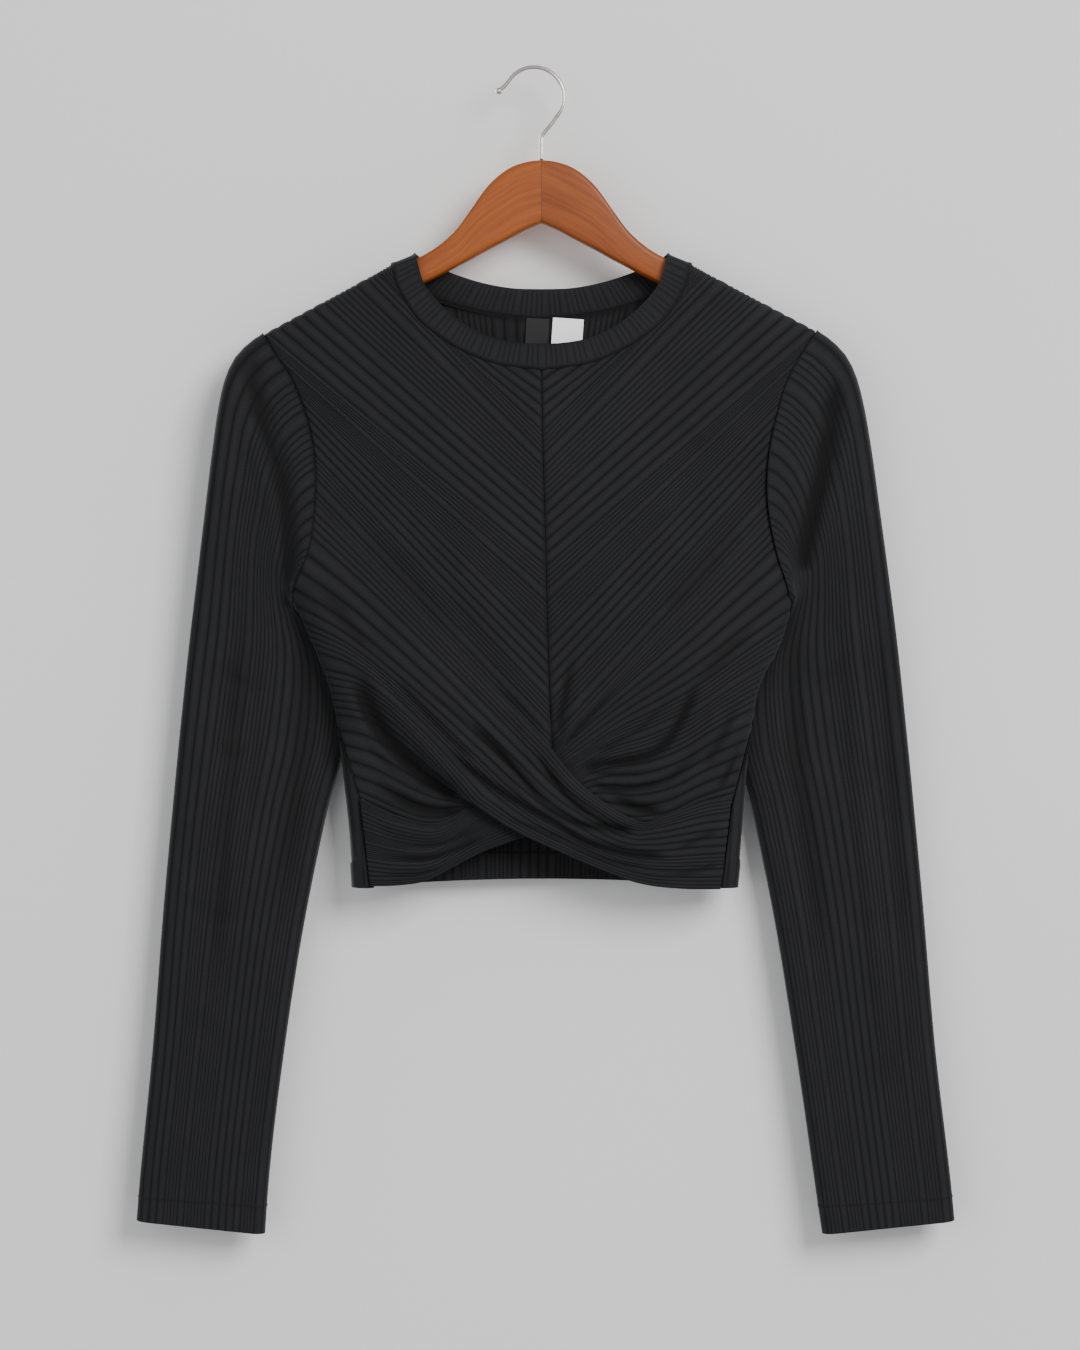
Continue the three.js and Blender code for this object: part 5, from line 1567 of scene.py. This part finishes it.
class WireHook(Rod):
    """The bent wire hook with its little ball."""

    WIRE = 2.6
    BALL = 4.4
    CENTRE = (-5.1, -18.4)
    RADIUS = 20.35
    ARC_DEG = (-42.0, 148.0)
    STEM = [(0.0, -61.1), (0.0, -55.0), (0.0, -50.0), (0.3, -45.4), (2.4, -42.0), (6.2, -37.4)]
    TIP = [(-25.0, -10.8), (-28.9, -14.3)]
    SIDES = 24
    ARC_STEPS = 24
    STEPS = 150
    BALL_STEPS = 16
    BALL_SINK = 0.72

    def make(self) -> bpy.types.Object:
        """Makes the piece."""
        angle = np.radians(np.linspace(*self.ARC_DEG, self.ARC_STEPS))
        arc = np.array(self.CENTRE) + self.RADIUS * np.stack([np.cos(angle), np.sin(angle)], axis=-1)
        bend, tip = np.array(self.TIP)
        route = Route.bent([*self.STEM, *arc, bend, tip], 5)
        radius = self.BALL / 2
        path = route.at(np.linspace(0.0, 1.0 - radius * self.BALL_SINK / route.length, self.STEPS))
        direction = (tip - bend) / np.linalg.norm(tip - bend)
        spread = np.linspace(-0.8, 0.995, self.BALL_STEPS)
        ball = tip + np.outer(spread * radius, direction)
        centre = np.vstack([path, ball])
        thick = np.concatenate([np.full(len(path), self.WIRE / 2), radius * np.sqrt(1 - spread**2)])
        thick[0] *= 0.9
        ahead = np.gradient(centre, axis=0)
        ahead[-len(spread):] = direction
        ahead /= np.linalg.norm(ahead, axis=1, keepdims=True)
        turn = np.linspace(0.0, 2 * np.pi, self.SIDES, endpoint=False)[None]
        across = thick[:, None] * np.cos(turn)
        x = centre[:, :1] + ahead[:, 1:] * across
        z = centre[:, 1:] - ahead[:, :1] * across
        y = thick[:, None] * np.sin(turn)
        length = np.concatenate([[0.0], np.cumsum(np.linalg.norm(np.diff(centre, axis=0), axis=1))])
        along = np.broadcast_to(length[:, None], y.shape)
        around = np.broadcast_to(turn * self.WIRE / 2, y.shape)
        return self.build(np.stack([x, y, z], axis=-1), np.stack([along, around], axis=-1))


# Finishes, as shader nodes


class Graph:
    """A material's nodes, made one after another."""

    def __init__(self, name: str) -> None:
        """Starts a material that has nothing but its output."""
        self.material = bpy.data.materials.new(name)
        self.material.use_nodes = True
        self.tree = self.material.node_tree
        self.tree.nodes.clear()
        self.out = self.tree.nodes.new("ShaderNodeOutputMaterial")

    def node(self, kind: str, sockets: Dict[str, object], **settings: object) -> bpy.types.Node:
        """Adds a node.

        Args:
            kind: the node's type without its prefix.
            sockets: values or links by the input's name or number.
            settings: the node's own properties.

        Returns:
            The node.
        """
        made = self.tree.nodes.new(f"ShaderNode{kind}")
        for key, value in settings.items():
            setattr(made, key, value)
        for key, value in sockets.items():
            socket = made.inputs[key]
            if isinstance(value, bpy.types.NodeSocket):
                self.tree.links.new(value, socket)
            elif isinstance(value, tuple) and socket.type == "RGBA":
                socket.default_value = (*value, 1.0)
            else:
                socket.default_value = value
        return made

    def maths(self, operation: str, first: object, second: object = 0.0) -> bpy.types.NodeSocket:
        """Adds one operation on two values."""
        return self.node("Math", {0: first, 1: second}, operation=operation).outputs[0]

    def times(self, first: object, second: object) -> bpy.types.NodeSocket:
        """Adds a product."""
        return self.maths("MULTIPLY", first, second)

    def plus(self, first: object, second: object) -> bpy.types.NodeSocket:
        """Adds a sum."""
        return self.maths("ADD", first, second)

    def minus(self, first: object, second: object) -> bpy.types.NodeSocket:
        """Adds a difference."""
        return self.maths("SUBTRACT", first, second)

    def noise(
        self, vector: object, scale: float, detail: float = 3.0, roughness: float = 0.5
    ) -> bpy.types.NodeSocket:
        """Adds a noise between 0 and 1."""
        sockets = {"Vector": vector, "Scale": scale, "Detail": detail, "Roughness": roughness}
        return self.node("TexNoise", sockets).outputs["Fac"]

    def join(self, x: object, y: object, z: object = 0.0) -> bpy.types.NodeSocket:
        """Adds a vector made of three values."""
        return self.node("CombineXYZ", {0: x, 1: y, 2: z}).outputs[0]

    def between(self, share: object, low: object, high: object) -> bpy.types.NodeSocket:
        """Adds a value that runs from one to another as a share runs from 0 to 1."""
        sockets = {"Value": share, "To Min": low, "To Max": high}
        return self.node("MapRange", sockets).outputs[0]

    def blend(self, share: object, low: object, high: object) -> bpy.types.NodeSocket:
        """Adds a colour between two others."""
        mixed = self.node("Mix", {0: share, 6: low, 7: high}, data_type="RGBA")
        return mixed.outputs[2]

    def knit_map(self) -> Tuple[bpy.types.NodeSocket, bpy.types.NodeSocket]:
        """Adds the surface's own distances in millimetres."""
        uv = self.node("UVMap", {}, uv_map="knit").outputs[0]
        parts = self.node("SeparateXYZ", {0: uv})
        return self.times(parts.outputs[0], 1.0 / MM), self.times(parts.outputs[1], 1.0 / MM)

    def groove(self) -> bpy.types.NodeSocket:
        """Adds the painted shade of the surface's grooves, seams, stitch lines and hollows."""
        return self.node("Attribute", {}, attribute_name="groove").outputs["Fac"]

    def place(self) -> bpy.types.NodeSocket:
        """Adds the place on the object, in metres."""
        return self.node("TexCoord", {}).outputs["Object"]

    def surface(self, **sockets: object) -> bpy.types.Material:
        """Ends the material with one principled surface."""
        named = {key.replace("_", " "): value for key, value in sockets.items()}
        shader = self.node("BsdfPrincipled", named)
        self.tree.links.new(shader.outputs[0], self.out.inputs[0])
        return self.material


@dataclass(frozen=True)
class KnitFinish:
    """Rib knit: small V stitches in columns, fluff, and painted shade in grooves, hollows and between stitches."""

    dark: Colour = (0.0092, 0.0094, 0.0104)
    light: Colour = (0.0272, 0.0277, 0.0308)
    # The near-black of all the painted shade
    deep: Colour = (0.0008, 0.0008, 0.0010)
    wale: float = 0.95
    course: float = 0.85
    stitch_height: float = 0.00022

    def make(self) -> bpy.types.Material:
        """Makes the material."""
        g = Graph("knit")
        u, v = g.knit_map()
        wale = g.minus(g.maths("FRACT", g.maths("DIVIDE", u, self.wale)), 0.5)
        side = g.times(g.maths("ABSOLUTE", wale), 2.0)
        course = g.plus(g.maths("DIVIDE", v, self.course), g.times(side, 0.7))
        ridge = g.maths("SINE", g.times(g.maths("FRACT", course), math.pi))
        crown = g.minus(1.0, g.maths("POWER", side, 2.4))
        stitch = g.times(ridge, crown)
        place = g.place()
        fluff = g.noise(place, 2600.0, 4.0, 0.7)
        streak = g.noise(g.join(g.times(u, 0.9), g.times(v, 0.035)), 1.0, 3.0)
        patchy = g.noise(place, 26.0, 4.0, 0.6)
        speck = g.noise(g.join(g.times(u, 1.6), g.times(v, 1.3)), 1.0, 2.0, 0.7)
        share = g.plus(g.times(streak, 0.55), g.times(patchy, 0.35))
        share = g.plus(share, g.times(g.minus(speck, 0.5), 0.6))
        colour = g.blend(share, self.dark, self.light)
        # Painted shade between the stitches, by how low the stitch pattern lies
        stitch_gap_shade = g.times(g.minus(1.0, stitch), 0.45)
        colour = g.blend(stitch_gap_shade, colour, self.deep)
        # Painted shade in the grooves, at seams and stitch lines and in fold hollows
        groove = g.times(g.maths("POWER", g.groove(), 1.1), 0.92)
        colour = g.blend(groove, colour, self.deep)
        height = g.plus(g.times(stitch, 0.75), g.times(fluff, 0.4))
        bump = g.node("Bump", {"Strength": 0.75, "Distance": self.stitch_height, "Height": height}).outputs[0]
        return g.surface(
            Base_Color=colour,
            Roughness=g.between(fluff, 0.78, 0.96),
            Specular_IOR_Level=0.2,
            Sheen_Weight=g.between(patchy, 0.05, 0.12),
            Sheen_Roughness=0.42,
            Sheen_Tint=(0.62, 0.64, 0.70),
            Normal=bump,
        )


@dataclass(frozen=True)
class SatinFinish:
    """Woven label: fine threads across, a stitched border with painted shade in its dent, and a soft shine."""

    name: str
    base: Colour
    shade: Colour
    thread: float = 0.42

    def make(self) -> bpy.types.Material:
        """Makes the material."""
        g = Graph(self.name)
        u, v = g.knit_map()
        weft = g.maths("SINE", g.times(v, 2 * math.pi / self.thread))
        warp = g.maths("SINE", g.times(u, 2 * math.pi / (self.thread * 0.7)))
        weave = g.plus(g.times(weft, 0.35), g.times(warp, 0.15))
        cloudy = g.noise(g.join(g.times(u, 0.16), g.times(v, 0.5)), 1.0, 4.0)
        share = g.plus(g.times(weave, 0.35), g.times(cloudy, 0.6))
        colour = g.blend(share, self.base, self.shade)
        # Painted shade along the stitched border's dent
        stitched = g.times(g.groove(), 0.4)
        colour = g.blend(stitched, colour, self.shade)
        dent = g.minus(weave, g.times(g.groove(), 1.2))
        bump = g.node("Bump", {"Strength": 0.4, "Distance": 0.00008, "Height": dent}).outputs[0]
        return g.surface(
            Base_Color=colour,
            Roughness=g.between(cloudy, 0.5, 0.66),
            Specular_IOR_Level=0.3,
            Normal=bump,
        )


@dataclass(frozen=True)
class WoodFinish:
    """Varnished wood whose grain follows each arm, with a dark joint in the middle."""

    pale: Colour = (0.310, 0.076, 0.006)
    warm: Colour = (0.165, 0.032, 0.002)
    dark: Colour = (0.060, 0.010, 0.001)
    joint: float = 0.00028

    def make(self) -> bpy.types.Material:
        """Makes the material."""
        g = Graph("wood")
        along, height = g.knit_map()
        place = g.node("SeparateXYZ", {0: g.place()})
        x, y = place.outputs[0], place.outputs[1]
        arm = g.maths("GREATER_THAN", x, 0.0)
        shift = g.times(arm, 37.0)
        depth = g.times(y, 160.0)
        run = g.plus(g.times(along, 0.012), shift)
        sway = g.noise(g.join(g.times(along, 0.02), shift), 1.0, 2.0)
        level = g.plus(g.times(height, 0.32), g.times(sway, 3.0))
        broad = g.noise(g.join(run, level, depth), 1.0, 4.0, 0.55)
        fine_run = g.plus(g.times(along, 0.06), shift)
        fine = g.noise(g.join(fine_run, g.times(level, 6.0), depth), 1.0, 5.0, 0.65)
        pores = g.noise(g.join(g.times(fine_run, 4.0), g.times(level, 16.0), depth), 1.0, 2.0)
        cloudy = g.noise(g.place(), 14.0, 3.0)
        share = g.plus(g.times(broad, 0.9), g.times(fine, 0.5))
        share = g.minus(share, g.times(cloudy, 0.3))
        share = g.plus(share, g.times(arm, 0.12))
        colour = g.blend(g.between(share, -0.45, 1.25), self.pale, self.warm)
        streaks = g.node("MapRange", {"Value": pores, "From Min": 0.58, "From Max": 0.78}).outputs[0]
        colour = g.blend(g.times(streaks, 0.45), colour, self.dark)
        from_joint = g.maths("ABSOLUTE", x)
        joint = g.node("MapRange", {"Value": from_joint, "From Min": self.joint, "From Max": 0.0001}).outputs[0]
        colour = g.blend(g.times(joint, 0.8), colour, self.dark)
        relief = g.minus(g.times(fine, 0.5), g.times(streaks, 0.5))
        relief = g.minus(relief, joint)
        bump = g.node("Bump", {"Strength": 0.25, "Distance": 0.0003, "Height": relief}).outputs[0]
        return g.surface(
            Base_Color=colour,
            Roughness=g.between(fine, 0.42, 0.6),
            Specular_IOR_Level=0.3,
            Coat_Weight=0.12,
            Coat_Roughness=0.2,
            Normal=bump,
        )


@dataclass(frozen=True)
class WireFinish:
    """Plated wire with faint drawing marks."""

    bright: Colour = (0.60, 0.585, 0.56)
    dull: Colour = (0.42, 0.405, 0.38)

    def make(self) -> bpy.types.Material:
        """Makes the material."""
        g = Graph("wire")
        along, around = g.knit_map()
        marks = g.noise(g.join(g.times(along, 0.15), g.times(around, 7.0)), 1.0, 4.0)
        spots = g.noise(g.place(), 420.0, 4.0)
        colour = g.blend(g.times(g.plus(marks, spots), 0.5), self.bright, self.dull)
        bump = g.node("Bump", {"Strength": 0.15, "Distance": 0.00005, "Height": marks}).outputs[0]
        return g.surface(Base_Color=colour, Metallic=1.0, Roughness=g.between(spots, 0.2, 0.38), Normal=bump)


@dataclass(frozen=True)
class WallFinish:
    """Painted wall behind the garment, seen from the front only."""

    paint: Colour = (0.80, 0.80, 0.80)
    paint_low: Colour = (0.775, 0.775, 0.775)

    def make(self) -> bpy.types.Material:
        """Makes the material."""
        g = Graph("wall")
        patchy = g.noise(g.place(), 3.0, 4.0)
        grain = g.noise(g.place(), 900.0, 3.0)
        colour = g.blend(patchy, self.paint, self.paint_low)
        bump = g.node("Bump", {"Strength": 0.05, "Distance": 0.0004, "Height": grain}).outputs[0]
        paint = g.node("BsdfDiffuse", {"Color": colour, "Roughness": 1.0, "Normal": bump}).outputs[0]
        clear = g.node("BsdfTransparent", {}).outputs[0]
        behind = g.node("NewGeometry", {}).outputs["Backfacing"]
        shown = g.node("MixShader", {0: behind, 1: paint, 2: clear}).outputs[0]
        g.tree.links.new(shown, g.out.inputs[0])
        return g.material


# Room, light and camera


@dataclass(frozen=True)
class Lamp:
    """A soft square light: where it is, what it looks at, its side, power and colour."""

    name: str
    place: Tuple[float, float, float]
    target: Tuple[float, float, float]
    side: float
    power: float
    colour: Colour = (1.0, 1.0, 1.0)


LAMPS = (
    Lamp("key", (1.5, -2.4, 0.85), (0.0, 0.0, -0.40), 1.4, 98.0, (1.0, 0.99, 0.98)),
    Lamp("fill", (-1.6, -2.6, -0.3), (0.0, 0.0, -0.40), 2.2, 24.0, (0.97, 0.985, 1.0)),
    Lamp("back_left", (-1.8, 2.4, 0.6), (0.0, 0.0, -0.40), 1.6, 80.0),
    Lamp("back_right", (2.0, 2.2, 0.2), (0.0, 0.0, -0.40), 1.6, 36.0),
)


@dataclass
class Room:
    """The wall behind, the lights and the camera of the photo."""

    wall_depth: float = 0.0305
    wall_half: float = 3.2
    world_grey: float = 0.56
    world_strength: float = 1.05
    lens: float = 85.0
    distance_per_lens: float = 0.0255
    aim: Tuple[float, float] = (-0.001, -0.4114)

    def build(self) -> None:
        """Makes the wall, the world, the lights and the camera."""
        half, depth = self.wall_half, self.wall_depth
        corners = [(-half, depth, -half), (half, depth, -half), (half, depth, half), (-half, depth, half)]
        mesh = bpy.data.meshes.new("wall")
        mesh.from_pydata(corners, [], [(0, 1, 2, 3)])
        mesh.materials.append(WallFinish().make())
        wall = bpy.data.objects.new("wall", mesh)
        wall.visible_shadow = wall.visible_diffuse = wall.visible_glossy = False
        bpy.context.scene.collection.objects.link(wall)
        for lamp in LAMPS:
            light = bpy.data.lights.new(lamp.name, "AREA")
            light.energy, light.size, light.color = lamp.power, lamp.side, lamp.colour
            holder = bpy.data.objects.new(lamp.name, light)
            holder.location = lamp.place
            away = np.array(lamp.place) - np.array(lamp.target)
            holder.rotation_euler = Vector(away.tolist()).to_track_quat("Z", "Y").to_euler()
            bpy.context.scene.collection.objects.link(holder)
        world = bpy.data.worlds.new("room")
        world.use_nodes = True
        sky = world.node_tree.nodes["Background"]
        sky.inputs[0].default_value = (self.world_grey, self.world_grey, self.world_grey, 1.0)
        sky.inputs[1].default_value = self.world_strength
        bpy.context.scene.world = world
        camera = bpy.data.cameras.new("camera")
        camera.lens = self.lens
        holder = bpy.data.objects.new("camera", camera)
        holder.location = (self.aim[0], -self.lens * self.distance_per_lens, self.aim[1])
        holder.rotation_euler = (math.pi / 2, 0.0, 0.0)
        bpy.context.scene.collection.objects.link(holder)
        bpy.context.scene.camera = holder


@dataclass(frozen=True)
class Cut:
    """A piece's flat cloth in metres, before it was hung."""

    flat: Pair
    area: float


def dress(body: bpy.types.Object, finish: bpy.types.Material) -> None:
    """Gives a piece its finish and ties it to the node that it stands for."""
    body.data.materials.append(finish)
    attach(body, "root")
    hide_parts(body.name.removesuffix(LOOK))
    LOG.info("made %s with %d faces", body.name, len(body.data.polygons))


def main() -> None:
    """Builds every piece, the room and the camera, and logs how many faces each piece has."""
    logging.basicConfig(level=logging.INFO)
    knit = KnitFinish().make()
    front_ribs = Ribs(RIB_REPEAT)
    cloth = [
        FrontOver(Hand.LEFT, "front_over", OVER_OFFSET, FOLDS_OVER + FINE_FOLDS_OVER, front_ribs).build(),
        FrontUnder(Hand.RIGHT, "front_under", UNDER_OFFSET, FOLDS_UNDER + FINE_FOLDS_UNDER, front_ribs).build(),
        BackPanel(Ribs(RIB_REPEAT, 22.0)).build(),
        Sleeve(Hand.LEFT, Ribs(SLEEVE_REPEAT, 8.0)).build(),
        Sleeve(Hand.RIGHT, Ribs(SLEEVE_REPEAT, 20.0)).build(),
        Neckband(Ribs(BAND_REPEAT)).build(),
    ]
    for body in cloth:
        dress(body, knit)
    black = SatinFinish("label_black", (0.0045, 0.0045, 0.005), (0.010, 0.010, 0.011)).make()
    white = SatinFinish("label_white", (0.95, 0.96, 0.97), (0.76, 0.77, 0.79)).make()
    labels = [LabelSheet(label).build() for label in LABELS]
    for body, finish in zip(labels, (black, white)):
        dress(body, finish)
    bar = HangerBar("hanger_arms").make()
    dress(bar, WoodFinish().make())
    dress(WireHook("hanger_hook").make(), WireFinish().make())
    Room().build()
    bpy.context.view_layer.update()


if __name__ == "__main__":
    main()
